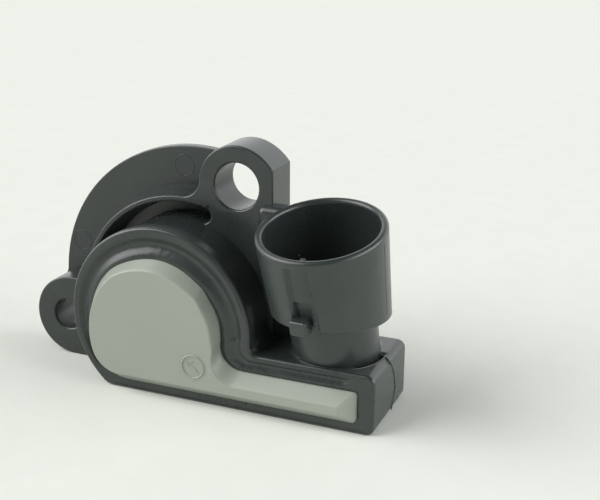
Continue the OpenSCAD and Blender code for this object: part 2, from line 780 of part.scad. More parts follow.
// Wave washer between the bearing boss and the rotor's disc
module wave_washer() color([0.7, 0.71, 0.73]) {
    n = 72;
    t = 0.25;
    wave = (washer_room - t - 0.2) / 2;
    mid = disc_front_y + washer_room / 2;
    ring = [hub_r + 0.3, boss_r - 0.1];
    pts = [for (i = [0:n - 1]) let (a = 360 * i / n, y = mid + wave * sin(3 * a))
        for (c = [[0, -1], [1, -1], [1, 1], [0, 1]])
            [ring[c[0]] * cos(a), y + c[1] * t / 2, ring[c[0]] * sin(a)]];
    faces = [for (i = [0:n - 1]) for (j = [0:3])
        [i * 4 + j, ((i + 1) % n) * 4 + j, ((i + 1) % n) * 4 + (j + 1) % 4, i * 4 + (j + 1) % 4]];
    polyhedron(pts, faces);
}

housing();
rear_cover();
cover_sealant();
element_board();
resistive_track();
collector_track();
conductor_a();
conductor_b();
conductor_c();
rivet_a();
rivet_b();
rivet_c();
terminal_a();
terminal_b();
terminal_c();
terminal_seal();
rotor();
wiper();
return_spring();
wave_washer();
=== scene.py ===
# Rotary throttle position sensor: the black moulding, its grey cover and the small parts, dressed for a
# render. Shapes are worked out in millimetres, in the CAD model's frame, and made metres in make_piece.
import math
from types import SimpleNamespace

import bmesh
import bpy
import numpy as np
from mathutils import Matrix, Vector
from mathutils.geometry import tessellate_polygon


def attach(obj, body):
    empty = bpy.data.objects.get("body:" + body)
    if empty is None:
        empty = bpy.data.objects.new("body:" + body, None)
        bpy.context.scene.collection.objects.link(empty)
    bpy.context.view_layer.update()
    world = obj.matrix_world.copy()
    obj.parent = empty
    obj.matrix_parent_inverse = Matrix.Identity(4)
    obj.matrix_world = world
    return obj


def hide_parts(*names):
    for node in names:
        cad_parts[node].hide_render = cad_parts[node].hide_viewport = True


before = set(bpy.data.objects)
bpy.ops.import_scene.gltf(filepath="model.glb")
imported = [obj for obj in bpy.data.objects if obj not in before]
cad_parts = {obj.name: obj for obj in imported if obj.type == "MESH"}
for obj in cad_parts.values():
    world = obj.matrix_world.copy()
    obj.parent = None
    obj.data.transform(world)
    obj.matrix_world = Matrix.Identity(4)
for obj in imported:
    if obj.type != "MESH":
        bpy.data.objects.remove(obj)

bl_info = {
    "name": "Throttle position sensor",
    "version": (1, 0, 0),
    "blender": (4, 5, 0),
    "location": "3D View > Sidebar > Sensor",
    "description": "Builds a rotary throttle position sensor over its CAD frame",
    "category": "Add Mesh",
}

MM = 0.001
FIXED_BODY, TURNING_BODY = "sensor_body", "rotor_body"


# ---------------------------------------------------------------- sizes and colours

def length(name, value, description):
    """A length property, given here in millimetres and kept in metres."""
    return bpy.props.FloatProperty(name=name, description=description, default=value * MM, unit="LENGTH",
                                   precision=5)


def turn_angle(name, value, description):
    """An angle property, given here in degrees and kept in radians."""
    return bpy.props.FloatProperty(name=name, description=description, default=math.radians(value),
                                   subtype="ANGLE")


def colour(name, value, description):
    """A colour property with linear red, green and blue."""
    return bpy.props.FloatVectorProperty(name=name, description=description, default=value, subtype="COLOR",
                                         size=3, min=0.0, max=1.0)


def amount(name, value, description):
    """A plain number, such as a roughness or a light's strength."""
    return bpy.props.FloatProperty(name=name, description=description, default=value, min=0.0)


class SensorHousingSizes(bpy.types.PropertyGroup):
    body_depth: length("Body depth", 16.7, "From the mounting face to the front of the rim")
    body_radius: length("Body radius", 16.6, "Round body behind the rim")
    rim_radius: length("Rim radius", 17.2, "Rim around the cover")
    rim_back: length("Rim thickness", 2.4, "From the rim's front to the step behind it")
    rim_round: length("Rim edge", 0.5, "Rounding of the rim's front edge")
    rim_land: length("Rim land", 0.55, "Flat ring at the rim's front")
    groove_depth: length("Cover groove depth", 0.45, "How far the swaged rim falls toward the cover")
    base_low: length("Base", 13.35, "From the rotor axis down to the flat base")
    foot_end: length("Foot end", 39.2, "From the rotor axis to the end of the foot")
    foot_drop: length("Foot top", 2.75, "From the rotor axis down to the foot's top")
    foot_corner: length("Foot corner", 1.4, "Corner radius at the foot's end")
    plate_thickness: length("Flange thickness", 2.0, "Flange plate")
    plate_radius: length("Flange radius", 28.1, "Outer edge of the flange plate")
    plate_edge: length("Flange edge", 0.25, "Rounding of the plate's edges")
    ear_depth: length("Ear height", 7.6, "From the mounting face to the front of the ears")
    ear_edge: length("Ear edge", 0.3, "Rounding of the ears' edges")
    upper_x: length("Upper ear across", 10.75, "Centre of the upper ear")
    upper_z: length("Upper ear up", 23.3, "Centre of the upper ear")
    upper_radius: length("Upper ear radius", 7.1, "Round end of the upper ear")
    upper_hole: length("Upper hole", 4.1, "Radius of the oversize screw hole")
    side: length("Straight side", 17.5, "Flat right side of flange and ear")
    left_x: length("Left ear across", -23.8, "Centre of the left ear")
    left_z: length("Left ear up", -5.65, "Centre of the left ear")
    left_radius: length("Left ear radius", 7.7, "Round end of the left ear")
    left_hole_x: length("Left hole across", -24.8, "Centre of the pivot hole")
    left_hole_z: length("Left hole up", -5.4, "Centre of the pivot hole")
    left_hole: length("Left hole", 2.9, "Radius of the pivot hole")
    ring_radius: length("Ring radius", 20.4, "Outer radius of the ring at its front edge")
    collar_radius: length("Collar radius", 8.6, "Pilot collar on the mounting side")
    collar_height: length("Collar height", 3.5, "Pilot collar's height")
    bearing_radius: length("Bearing radius", 7.55, "Bore in which the rotor turns")


class SensorCoverSizes(bpy.types.PropertyGroup):
    rise: length("Rise", 1.9, "Height of the cover's face in front of the rim")
    radius: length("Outer radius", 12.38, "Round part where it leaves the groove")
    face_radius: length("Face radius", 11.9, "Round part of the flat face, on the arm's side")
    outer_low: length("Outer bottom", 11.75, "Straight lower edge, down from the axis")
    face_low: length("Face bottom", 9.8, "Lower edge of the face, down from the axis")
    outer_arm: length("Arm top", 6.1, "Top of the arm, down from the axis")
    face_arm: length("Face arm top", 8.2, "Top of the face along the arm, down from the axis")
    outer_end: length("Arm end", 36.2, "End of the arm")
    face_end: length("Face end", 33.7, "End of the face along the arm")
    edge: length("Face edge", 0.18, "Rounding between the face and its bevel")
    mark_radius: length("Mark radius", 2.05, "Plain raised ring with a pointer")


class SensorConnectorSizes(bpy.types.PropertyGroup):
    base_x: length("Base across", 29.6, "Where the connector's axis leaves the foot")
    base_y: length("Base depth", 8.35, "The same point, in front of the mounting face")
    lean: turn_angle("Lean", 13.5, "Lean toward the cover side")
    tilt: turn_angle("Tilt", 2.6, "Lean toward the body")
    height: length("Height", 23.5, "From the foot to the mouth, along the axis")
    mouth_radius: length("Mouth radius", 10.75, "Outer radius at the mouth")
    low_radius: length("Lower radius", 9.95, "Outer radius at the lower end")
    lip: length("Lip", 0.62, "Rounding of the mouth's edges")
    bore_radius: length("Bore radius", 9.45, "Bore at the mouth")
    floor_radius: length("Floor radius", 9.05, "Bore at its floor")
    bore_depth: length("Bore depth", 11.6, "From the mouth to the floor")
    lower_end: length("Lower end", 5.0, "Height of the shroud's level lower end above the rotor axis")
    neck_radius: length("Neck radius", 7.4, "Neck between foot and shroud")
    neck_fillet: length("Neck fillet", 0.9, "Concave foot of the neck")
    dish_radius: length("Dish radius", 8.4, "Scooped dish beside the neck")
    dish_depth: length("Dish depth", 0.8, "Depth of that dish")
    channel_depth: length("Channel depth", 0.65, "Recess of the latch channel")
    nub_radius: length("Nub reach", 11.2, "How far the latch nub stands from the axis")
    nub_height: length("Nub height", 2.7, "Height of the latch nub")
    nub_width: length("Nub width", 3.1, "Width of the latch nub")


class SensorFinishes(bpy.types.PropertyGroup):
    black: colour("Housing", (0.026, 0.034, 0.033), "Black glass-filled moulding")
    black_pale: colour("Housing haze", (0.048, 0.057, 0.053), "Where the moulding is rubbed and dusty")
    grey: colour("Cover", (0.315, 0.350, 0.298), "Grey moulding of the cover")
    grey_pale: colour("Cover haze", (0.345, 0.378, 0.328), "Rubbed places on the cover")
    white: colour("Rotor", (0.74, 0.74, 0.70), "White moulding of the rotor")
    tin: colour("Terminals", (0.68, 0.66, 0.60), "Tin plate")
    brass: colour("Brass", (0.66, 0.50, 0.24), "Rivets and wiper")
    steel: colour("Steel", (0.60, 0.61, 0.62), "Spring wire and washer")
    board: colour("Board", (0.58, 0.56, 0.46), "Carrier of the tracks")
    carbon: colour("Track", (0.03, 0.03, 0.033), "Carbon print")
    silver: colour("Leads", (0.62, 0.61, 0.58), "Silver print")
    sealant: colour("Sealant", (0.05, 0.05, 0.055), "Rubbery bead and potting")
    dust: colour("Dust", (0.42, 0.44, 0.40), "Specks that lie on the surface")
    black_roughness: amount("Housing roughness", 0.31, "Gloss of the black moulding")
    grey_roughness: amount("Cover roughness", 0.42, "Gloss of the grey moulding")


class SensorStage(bpy.types.PropertyGroup):
    azimuth: turn_angle("Azimuth", 22.281926, "Camera round the object")
    elevation: turn_angle("Elevation", 18.638406, "Camera above the horizon")
    roll: turn_angle("Roll", 0.401016, "Camera about its own axis")
    distance: length("Distance", 166.917698, "Camera from its target")
    target_x: length("Target across", 26.188992, "Point that the camera looks at")
    target_y: length("Target depth", -16.7, "Point that the camera looks at")
    target_z: length("Target height", 17.012471, "Point that the camera looks at")
    focal: amount("Focal length", 63.662, "Millimetres on a 36 mm sensor")
    floor: colour("Floor", (0.865, 0.880, 0.825), "Pale floor")
    backdrop: colour("Backdrop", (0.868, 0.890, 0.826), "Pale background")
    ambient: amount("Ambient", 0.30, "Even light from all sides")
    walls: amount("Walls", 1.5, "Pale walls behind and on the right, as gloss shows them")
    gloom: amount("Gloom", 0.05, "The rest of the room, as gloss shows it")
    key: amount("Key", 2.7, "Soft light from the left")
    fill: amount("Fill", 2.3, "Soft low light from the right")


def sizes(group):
    """A property group's values as plain attributes, with its lengths in millimetres."""
    values = {}
    for key, prop in group.bl_rna.properties.items():
        if prop.type == "FLOAT":
            value = getattr(group, key)
            values[key] = value / MM if prop.unit == "LENGTH" else tuple(value) if prop.is_array else value
    return SimpleNamespace(**values)


# ---------------------------------------------------------------- curves and surfaces

def smooth(value, low, high):
    """0 below low, 1 above high, and 3u^2 - 2u^3 between them, with u the share of the way."""
    u = np.clip((value - low) / (high - low), 0.0, 1.0)
    return u * u * (3.0 - 2.0 * u)


def window(value, low, low_full, high_full, high):
    """1 from low_full to high_full, falling smoothly to 0 at low and at high."""
    return smooth(value, low, low_full) * (1 - smooth(value, high_full, high))


def tent(value, middle, half):
    """1 at the middle, falling evenly to 0 at the given distance from it."""
    return np.maximum(0.0, 1.0 - np.abs(value - middle) / half)


def quarter(degrees):
    """1 - cos t and 1 - sin t for each angle t: how far a round edge of radius 1 stays from its two
    sides."""
    t = np.radians(degrees)
    return list(zip(1 - np.cos(t), 1 - np.sin(t)))


def polar(radius, angle):
    """Points radius (cos t, sin t) for angles t in degrees."""
    t = np.radians(angle)
    return np.stack([radius * np.cos(t), radius * np.sin(t)], -1)


def arc(centre, radius, start, end, step=3.0):
    """Points centre + radius (cos t, sin t), with t in even steps from start to end degrees."""
    count = max(2, int(math.ceil(abs(end - start) / step)))
    return np.asarray(centre) + polar(radius, np.linspace(start, end, count + 1))


def hole(centre, radius):
    """A hole's edge: a full circle, clockwise."""
    return arc(centre, radius, 360, 0)[:-1]


def heading(start, end):
    """Direction from one point to another, in degrees."""
    return math.degrees(math.atan2(end[1] - start[1], end[0] - start[0]))


def sweep(centre, radius, first, last, step, way=1):
    """Arc from the direction of one point to that of another, counter-clockwise, or clockwise for a way
    of -1."""
    start = heading(centre, first)
    return arc(centre, radius, start, start + way * (way * (heading(centre, last) - start) % 360), step)


def touch(first, first_radius, second, second_radius, radius, side):
    """Centre of a circle that touches two circles from outside: it is at the sum of the radii from each,
    on the given side of the line between them."""
    first, second = np.asarray(first), np.asarray(second)
    gap = np.linalg.norm(second - first)
    along = (second - first) / gap
    m, n = first_radius + radius, second_radius + radius
    k = (m * m - n * n + gap * gap) / (2 * gap)
    return first + along * k + side * math.sqrt(m * m - k * k) * np.array([-along[1], along[0]])


def spread(start, end, shares):
    """Points on the line from start to end at the given shares of its length, without the last one."""
    shares = np.asarray(shares)[:-1, None]
    return np.asarray(start) * (1 - shares) + np.asarray(end) * shares


SHOULDER = 135.0  # angle at which an outline's larger left side takes over from its round
TIP_STEP = 12.9  # degrees between the points of an arm's two corners


def outline(centre, radius, side, corner, low, end, top, blend, tip, grow=0.0, swell=None, crease=41.0):
    """A round with an arm to its right, counter-clockwise from the lower left, grown by a distance all
    round: flat bottom at low, arm end with tip radius, arm top, concave blend, round of the given radius
    plus swell(angle), a larger radius on the left side and a corner. Its points are closest at the
    crease's angle. Every outline has the same number of points, so that two of them can be mixed."""
    cx, cz = centre
    swell = swell or (lambda angle: 0.0 * angle)
    left = radius + float(swell(np.float64(SHOULDER)))
    b = np.array([cx, cz]) + (left - side) * polar(1.0, SHOULDER)
    kz = corner - low
    k = np.array([b[0] - math.sqrt((side - corner) ** 2 - (kz - b[1]) ** 2), kz])
    t = np.array([cx + math.sqrt((radius + blend) ** 2 - (top + blend - cz) ** 2), top + blend])
    a = heading(t, (cx, cz))
    turn = 360.0 + heading(b, k)
    low_tip, top_tip = (end - tip, -low + tip), (end - tip, top - tip)
    before = np.append(np.linspace(0, 0.93, 29), [0.965, 0.985])
    after = np.append([0, 0.012, 0.03], np.linspace(0.06, 1, 58))[:-1]
    main = np.append(a - 180 + (crease - a + 180) * before, crease + (SHOULDER - crease) * after)
    return np.concatenate([
        spread((k[0], -low - grow), (end - tip, -low - grow), np.linspace(0, 1, 33)),
        arc(low_tip, tip + grow, -90, 0, TIP_STEP),
        spread((end + grow, -low + tip), (end + grow, top - tip), np.linspace(0, 1, 9))[1:],
        arc(top_tip, tip + grow, 0, 90, TIP_STEP),
        spread((end - tip, top + grow), (t[0], top + grow), np.linspace(0, 1, 85))[1:],
        arc(t, blend - grow, 270, a, abs(270 - a) / 16.5)[:-1],
        np.array([cx, cz]) + polar(radius + grow + swell(main), main),
        arc(b, side + grow, SHOULDER, turn, (turn - SHOULDER) / 47.5)[:-1],
        arc(k, corner + grow, turn, 270, (270 - turn) / 11.5)[:-1]])


def at_depth(points, depth):
    """Flat points (x, z) set at a depth y."""
    return np.stack([points[:, 0], np.full(len(points), depth), points[:, 1]], -1)


def inset(points, distance):
    """A closed line moved to its left by a distance: each point moves along the mitre of its two edges,
    which is the sum of their normals over one plus their product."""
    before, after = points - np.roll(points, 1, 0), np.roll(points, -1, 0) - points
    n = [np.stack([-v[:, 1], v[:, 0]], -1) / np.linalg.norm(v, axis=1)[:, None] for v in (before, after)]
    mitre = (n[0] + n[1]) / np.maximum(1 + (n[0] * n[1]).sum(1), 0.3)[:, None]
    return points + mitre * np.asarray(distance).reshape(-1, 1)


def facing(points, faces):
    """The faces, turned over where the solid they close has a negative volume."""
    volume = 0.0
    for group in faces:
        p = points[group] - points.mean(0)
        for k in range(1, group.shape[1] - 1):
            volume += np.einsum("ij,ij->i", p[:, 0], np.cross(p[:, k], p[:, k + 1])).sum()
    return faces if volume > 0 else [group[:, ::-1] for group in faces]


def numbered(rows, start=0):
    """Point numbers of a grid of rows, counted from start."""
    return start + np.arange(rows.shape[0] * rows.shape[1]).reshape(rows.shape[:2])


def quads(numbers):
    """A face for each place in a grid of point numbers: the place, the one in the next row, the one after
    that and the next in its own row. The last row and the last column go on to the first."""
    ahead = np.roll(numbers, -1, 1)
    return np.stack([numbers, np.roll(numbers, -1, 0), np.roll(ahead, -1, 0), ahead], -1)


def skin(rows, ring=False):
    """Surface through rows of points, each row closed on itself. As a ring, the last row joins the first;
    otherwise a fan to the mean point closes each end."""
    numbers = numbered(rows)
    points, faces = rows.reshape(-1, 3), quads(numbers)
    if ring:
        return points, facing(points, [faces.reshape(-1, 4)])
    first, last, tip = numbers[0], numbers[-1], np.full(rows.shape[1], len(points))
    fans = [np.stack([tip, first, np.roll(first, -1)], -1), np.stack([tip + 1, np.roll(last, -1), last], -1)]
    points = np.vstack([points, rows[0].mean(0), rows[-1].mean(0)])
    return points, facing(points, [faces[:-1].reshape(-1, 4), *fans])


def capped(grids):
    """Surface through the rows of each grid, each row closed on itself, with one flat lid over all the
    first rows and one over all the last, which face away from each other. The first grid is the outline
    and the others are holes, which run the other way round."""
    numbers, start = [], 0
    for grid in grids:
        numbers.append(numbered(grid, start))
        start += numbers[-1].size
    points = np.concatenate([grid.reshape(-1, 3) for grid in grids])
    groups = facing(points, [quads(n)[:-1].reshape(-1, 4) for n in numbers])
    for row, other in ((0, -1), (-1, 0)):
        flat = [[Vector((x, z, 0)) for x, y, z in grid[row]] for grid in grids]
        tri = np.concatenate([n[row] for n in numbers])[np.array(tessellate_polygon(flat))]
        corner = points[tri]
        normal = np.cross(corner[:, 1] - corner[:, 0], corner[:, 2] - corner[:, 0])[:, 1]
        inward = normal * (grids[0][row, 0, 1] - grids[0][other, 0, 1]) < 0
        tri[inward] = tri[inward][:, ::-1]
        groups.append(tri)
    return points, groups


def plate(loops, depth0, depth1, rounds, draft=0.0):
    """A flat solid between two depths, with quarter-round edges: depth d + r (1 - cos t), inset r (1 -
    sin t). The first loop is its outline, counter-clockwise, and the others are holes, clockwise; rounds
    has each loop's front and back edge radius r. The outline grows by draft from front to back."""
    grids, turns = [], quarter(np.linspace(0, 90, 5))
    for loop, (round0, round1) in zip(loops, rounds):
        edge = [(depth0 + round0 * a, round0 * b) for a, b in turns]
        edge += [(depth1 - round1 * a, round1 * b) for a, b in turns[::-1]]
        grids.append(np.array([at_depth(inset(loop, inward - draft * (y - depth0) / (depth1 - depth0)), y)
                               for y, inward in edge]))
        draft = 0.0  # the holes are straight
    return capped(grids)


def turned(profile, start=0.0, end=360.0, step=2.0, centre=(0.0, 0.0)):
    """A closed profile of (radius, depth) turned about the line through centre along Y, from start to end
    degrees; short of a full turn its two ends are closed."""
    profile = np.asarray(profile)
    full = end - start >= 360.0
    count = int(round((end - start) / step))
    angle = np.radians(np.linspace(start, end, count + 1)[:-1 if full else None])[:, None]
    rows = np.stack([centre[0] + profile[:, 0] * np.cos(angle), profile[:, 1] + 0 * angle,
                     centre[1] + profile[:, 0] * np.sin(angle)], -1)
    return skin(rows, ring=full)


def rounded_profile(corners, radii, steps=5):
    """A closed profile with each corner cut by a parabola whose ends lie at the corner's radius along
    both sides: (1-u)^2 a + 2u(1-u) corner + u^2 b."""
    corners = [np.asarray(c, float) for c in corners]
    points = []
    for n, (corner, radius) in enumerate(zip(corners, radii)):
        if radius == 0:
            points.append(corner)
            continue
        before, after = corners[n - 1] - corner, corners[(n + 1) % len(corners)] - corner
        a = corner + before / np.linalg.norm(before) * radius
        b = corner + after / np.linalg.norm(after) * radius
        for u in np.linspace(0, 1, steps + 1):
            points.append((1 - u) ** 2 * a + 2 * u * (1 - u) * corner + u * u * b)
    return np.array(points)


def rounded_block(low, high, radius, place=None):
    """A box with round edges: each point of a gridded box is pulled back to the inner box, which is
    smaller by the radius, and set off from it by the radius in the direction of the point."""
    low, high = np.asarray(low, float), np.asarray(high, float)
    marks = [np.append(np.linspace(a, a + radius, 5), np.linspace(b - radius, b, 5))
             for a, b in zip(low, high)]
    points, faces, start = [], [], 0
    for axis in range(3):
        u, v = [n for n in range(3) if n != axis]
        for value, flip in ((low[axis], axis != 1), (high[axis], axis == 1)):
            face = np.full((len(marks[u]), len(marks[v]), 3), value)
            face[..., u], face[..., v] = np.meshgrid(marks[u], marks[v], indexing="ij")
            quad = quads(numbered(face, start))[:-1, :-1].reshape(-1, 4)
            faces.append(quad[:, ::-1] if flip else quad)
            points.append(face.reshape(-1, 3))
            start += len(points[-1])
    points = np.vstack(points)
    inner = np.clip(points, low + radius, high - radius)
    away = points - inner
    points = inner + radius * away / np.linalg.norm(away, axis=1)[:, None]
    return points if place is None else place(points), faces


def tube(path, radius, sides=10):
    """A round bar along a path: circles of the radius in the plane across the path's direction."""
    path = np.asarray(path, float)
    along = np.gradient(path, axis=0)
    along /= np.linalg.norm(along, axis=1)[:, None]
    guide = np.eye(3)[np.argmin(np.abs(along).max(0))]
    a = np.cross(along, guide)
    a /= np.linalg.norm(a, axis=1)[:, None]
    b = np.cross(along, a)
    t = np.linspace(0, 2 * math.pi, sides, endpoint=False)[None, :, None]
    return skin(path[:, None] + radius * (a[:, None] * np.cos(t) + b[:, None] * np.sin(t)))


# ---------------------------------------------------------------- meshes

# For a new piece and for a copied node: degrees past which an edge is sharp, metres in which points are one
PIECE_SHARP, COPY_SHARP = 38.0, 30.0
PIECE_MERGE, COPY_MERGE = 2e-7, 1e-6
# For a copied node: degrees up to which its faces count as one flat, and past which its edges are bevelled
FLAT_WITHIN, BEVEL_PAST = 0.6, 40.0


def make_piece(name, parts, material, body, nodes):
    """Puts closed surfaces, in millimetres, into one mesh, sets its shading, material, body and material
    slot, and hides the CAD nodes that it stands for."""
    points, faces, start = [], [], 0
    for part_points, part_faces in parts:
        points.append(part_points)
        for group in part_faces:
            faces.extend((group + start).tolist())
        start += len(part_points)
    mesh = bpy.data.meshes.new(name)
    mesh.from_pydata((np.vstack(points) * MM).tolist(), [], faces)
    if mesh.validate():
        raise RuntimeError(f"{name} has faces that Blender had to mend")
    work = bmesh.new()
    work.from_mesh(mesh)
    bmesh.ops.remove_doubles(work, verts=work.verts, dist=PIECE_MERGE)
    work.to_mesh(mesh)
    work.free()
    return finish_piece(name, mesh, material, body, nodes, PIECE_SHARP)


def housing_piece(name, parts):
    """Makes a piece of the black housing."""
    return make_piece(name, parts, finish_of("black_moulding"), FIXED_BODY, ["housing"])


def softened(node, name, material, body, bevel):
    """A merged copy of a CAD node with its flat faces joined and its edges bevelled."""
    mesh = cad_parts[node].data.copy()
    work = bmesh.new()
    work.from_mesh(mesh)
    bmesh.ops.remove_doubles(work, verts=work.verts, dist=COPY_MERGE)
    bmesh.ops.dissolve_limit(work, angle_limit=math.radians(FLAT_WITHIN), verts=work.verts, edges=work.edges)
    work.to_mesh(mesh)
    work.free()
    mesh.name = name
    return finish_piece(name, mesh, material, body, [node], COPY_SHARP, bevel)


def finish_piece(name, mesh, material, body, nodes, sharp, bevel=0.0):
    """Links a mesh as a piece: smooth faces with sharp edges past an angle, an optional bevel, even
    normals."""
    piece = bpy.data.objects.new(name, mesh)
    bpy.context.scene.collection.objects.link(piece)
    mesh.shade_smooth()
    mesh.set_sharp_from_angle(angle=math.radians(sharp))
    mesh.materials.clear()
    mesh.materials.append(material)
    if bevel:
        rounding = piece.modifiers.new("Edges", "BEVEL")
        rounding.width = bevel * MM
        rounding.segments = 2
        rounding.limit_method = "ANGLE"
        rounding.angle_limit = math.radians(BEVEL_PAST)
        rounding.harden_normals = False
    even = piece.modifiers.new("Normals", "WEIGHTED_NORMAL")
    even.keep_sharp = True
    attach(piece, body)
    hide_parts(*nodes)
    return piece


# ---------------------------------------------------------------- materials

class Value:
    """A shader socket that can be used in sums: each operator adds a Math node."""

    def __init__(self, finish, socket):
        self.finish, self.socket = finish, socket

    def math(self, operation, first, second):
        """Adds a Math node for two sockets or numbers."""
        return self.finish.node("ShaderNodeMath", {"operation": operation}, {0: first, 1: second})

    def __add__(self, other):
        return self.math("ADD", self, other)

    def __sub__(self, other):
        return self.math("SUBTRACT", self, other)

    def __rsub__(self, other):
        return self.math("SUBTRACT", other, self)

    def __mul__(self, other):
        return self.math("MULTIPLY", self, other)

    __radd__, __rmul__ = __add__, __mul__


class Finish:
    """A material, or the world, and the nodes that make it up."""

    def __init__(self, name, owner=None):
        self.owner = owner or bpy.data.materials.new(name)
        self.owner.use_nodes = True
        self.tree = self.owner.node_tree
        self.tree.nodes.clear()

    def node(self, kind, settings=None, inputs=None, output=0):
        """Adds a node: its settings first, then the values or links of its sockets."""
        node = self.tree.nodes.new(kind)
        for key, value in (settings or {}).items():
            setattr(node, key, value)
        for key, value in (inputs or {}).items():
            if isinstance(value, Value):
                self.tree.links.new(value.socket, node.inputs[key])
            elif node.inputs[key].type == "RGBA":
                node.inputs[key].default_value = (*value, 1.0)
            else:
                node.inputs[key].default_value = value
        return Value(self, node.outputs[output]) if node.outputs else None

    def place(self):
        """Object coordinates, in metres."""
        return self.node("ShaderNodeTexCoord", output="Object")

    def stretched(self, where, scale, rotation=(0.0, 0.0, 0.0)):
        """Coordinates turned, then scaled along each axis: a small scale draws a pattern out."""
        return self.node("ShaderNodeMapping", {}, {"Vector": where, "Rotation": rotation, "Scale": scale})

    def noise(self, where, scale, detail=2.0, roughness=0.5):
        """Noise with the given number of cells in a metre."""
        return self.node("ShaderNodeTexNoise", {}, {"Vector": where, "Scale": scale, "Detail": detail,
                                                    "Roughness": roughness})

    def between(self, value, low, high):
        """0 below low, 1 above high, with a smooth step between."""
        return self.node("ShaderNodeMapRange", {"interpolation_type": "SMOOTHSTEP"},
                         {"Value": value, "From Min": low, "From Max": high})

    def dots(self, where, scale, radius, rare):
        """1 in a small dot at the middle of some cells, those whose own chance number is over rare."""
        cell = {"Vector": where, "Scale": scale}
        away = self.node("ShaderNodeTexVoronoi", {"feature": "F1"}, cell, "Distance")
        tint = self.node("ShaderNodeTexVoronoi", {"feature": "F1"}, cell, "Color")
        chosen = self.between(self.node("ShaderNodeSeparateColor", {}, {0: tint}), rare, rare + 0.005)
        return self.between(away, radius, radius * 0.45) * chosen

    def blend(self, share, first, second):
        """Mix of two colours."""
        return self.node("ShaderNodeMix", {"data_type": "RGBA"}, {0: share, 6: first, 7: second}, 2)

    def bump(self, height, distance):
        """Bump of a height between 0 and 1 that stands for the given distance."""
        return self.node("ShaderNodeBump", {}, {"Height": height, "Distance": distance, "Strength": 1.0})

    def done(self, **sockets):
        """Ends the material in one Principled surface with the given sockets."""
        shader = self.node("ShaderNodeBsdfPrincipled", {},
                           {key.replace("_", " "): value for key, value in sockets.items()})
        self.node("ShaderNodeOutputMaterial", {}, {"Surface": shader})
        return self.owner


HAZE, PATCHES = 0.5, 0.35  # share of the haze in a moulding's colour, and of its small patches in the haze
DUST_SHOWN, NICK_SHOWN = 0.8, 0.12  # how much of their own colour the dust specks and the nicks show


def moulded(name, base, pale, dust, roughness, grain):
    """Moulded plastic: a base colour with broad haze, short faint nicks and a few dust specks, over a
    fine grain whose height is given in metres."""
    f = Finish(name)
    where = f.place()
    broad = f.between(f.noise(where, 70.0, 4.0, 0.6), 0.35, 0.75)
    patch = f.between(f.noise(where, 420.0, 3.0, 0.55), 0.45, 0.8)
    speck = f.dots(where, 300.0, 0.045, 0.955)
    nick = f.dots(f.stretched(where, (0.12, 1.3, 1.3), (0.5, 0.35, 0.6)), 420.0, 0.06, 0.975)
    tone = f.blend((broad + patch * PATCHES) * HAZE, base, pale)
    tone = f.blend(nick * NICK_SHOWN, tone, dust)
    tone = f.blend(speck * DUST_SHOWN, tone, dust)
    rough = roughness + (broad - 0.5) * 0.07 + (f.noise(where, 1400.0) - 0.5) * 0.08
    normal = f.bump(f.noise(where, 5200.0, 2.0, 0.6) + f.noise(where, 1500.0) * 0.9, grain)
    return f.done(Base_Color=tone, Roughness=rough, Normal=normal, IOR=1.55)


def metal(name, base, mark, roughness, brush):
    """Bare or plated metal with brushed streaks along X, as many in a metre as brush says, and slight
    tarnish."""
    f = Finish(name)
    where = f.place()
    streaks = f.noise(f.stretched(where, (0.15, 1.0, 1.0)), brush, 3.0)
    tarnish = f.between(f.noise(where, 400.0, 3.0), 0.4, 0.8)
    return f.done(Base_Color=f.blend(tarnish * 0.4, base, mark), Metallic=1.0,
                  Roughness=roughness + (streaks - 0.5) * 0.2, Normal=f.bump(streaks, 0.000004))


def matt(name, base, mark, roughness, grain, size, shine=0.5):
    """A matt body with mottled colour and grain of the given height and number of cells in a metre."""
    f = Finish(name)
    where = f.place()
    mottle = f.between(f.noise(where, size * 0.2, 3.0), 0.35, 0.7)
    fine = f.noise(where, size, 3.0)
    return f.done(Base_Color=f.blend(mottle, base, mark), Roughness=roughness + (fine - 0.5) * 0.15,
                  Normal=f.bump(fine, grain), Specular_IOR_Level=shine)


def toned(tone, share):
    """A colour times a share."""
    return tuple(c * share for c in tone)


def finish_of(kind):
    """The material of one finish, made the first time that it is asked for."""
    found = bpy.data.materials.get(kind)
    if found:
        return found
    c = sizes(bpy.context.scene.sensor_finishes)
    make, *values = {
        "black_moulding": (moulded, c.black, c.black_pale, c.dust, c.black_roughness, 0.000008),
        "grey_moulding": (moulded, c.grey, c.grey_pale, toned(c.dust, 1.1), c.grey_roughness, 0.000008),
        "white_moulding": (moulded, c.white, toned(c.white, 0.9), c.dust, 0.38, 0.000005),
        "tin_plate": (metal, c.tin, toned(c.tin, 0.75), 0.32, 2500.0),
        "brass": (metal, c.brass, toned(c.brass, 0.7), 0.3, 2500.0),
        "spring_steel": (metal, c.steel, toned(c.steel, 0.75), 0.28, 3000.0),
        "silver_print": (metal, c.silver, toned(c.silver, 0.8), 0.45, 1800.0),
        "board": (matt, c.board, toned(c.board, 0.9), 0.6, 0.00001, 3000.0),
        "carbon_print": (matt, c.carbon, toned(c.carbon, 1.4), 0.45, 0.000006, 5000.0),
        "sealant": (matt, c.sealant, toned(c.sealant, 1.3), 0.55, 0.00003, 900.0),
    }[kind]
    return make(kind, *values)


# ---------------------------------------------------------------- the housing's shapes
# h, s and c hold the sizes of the housing, the cover and the connector, in millimetres. Depths are along Y:
# the mounting face is at 0, and what stands in front of it, toward the cover, is below 0.

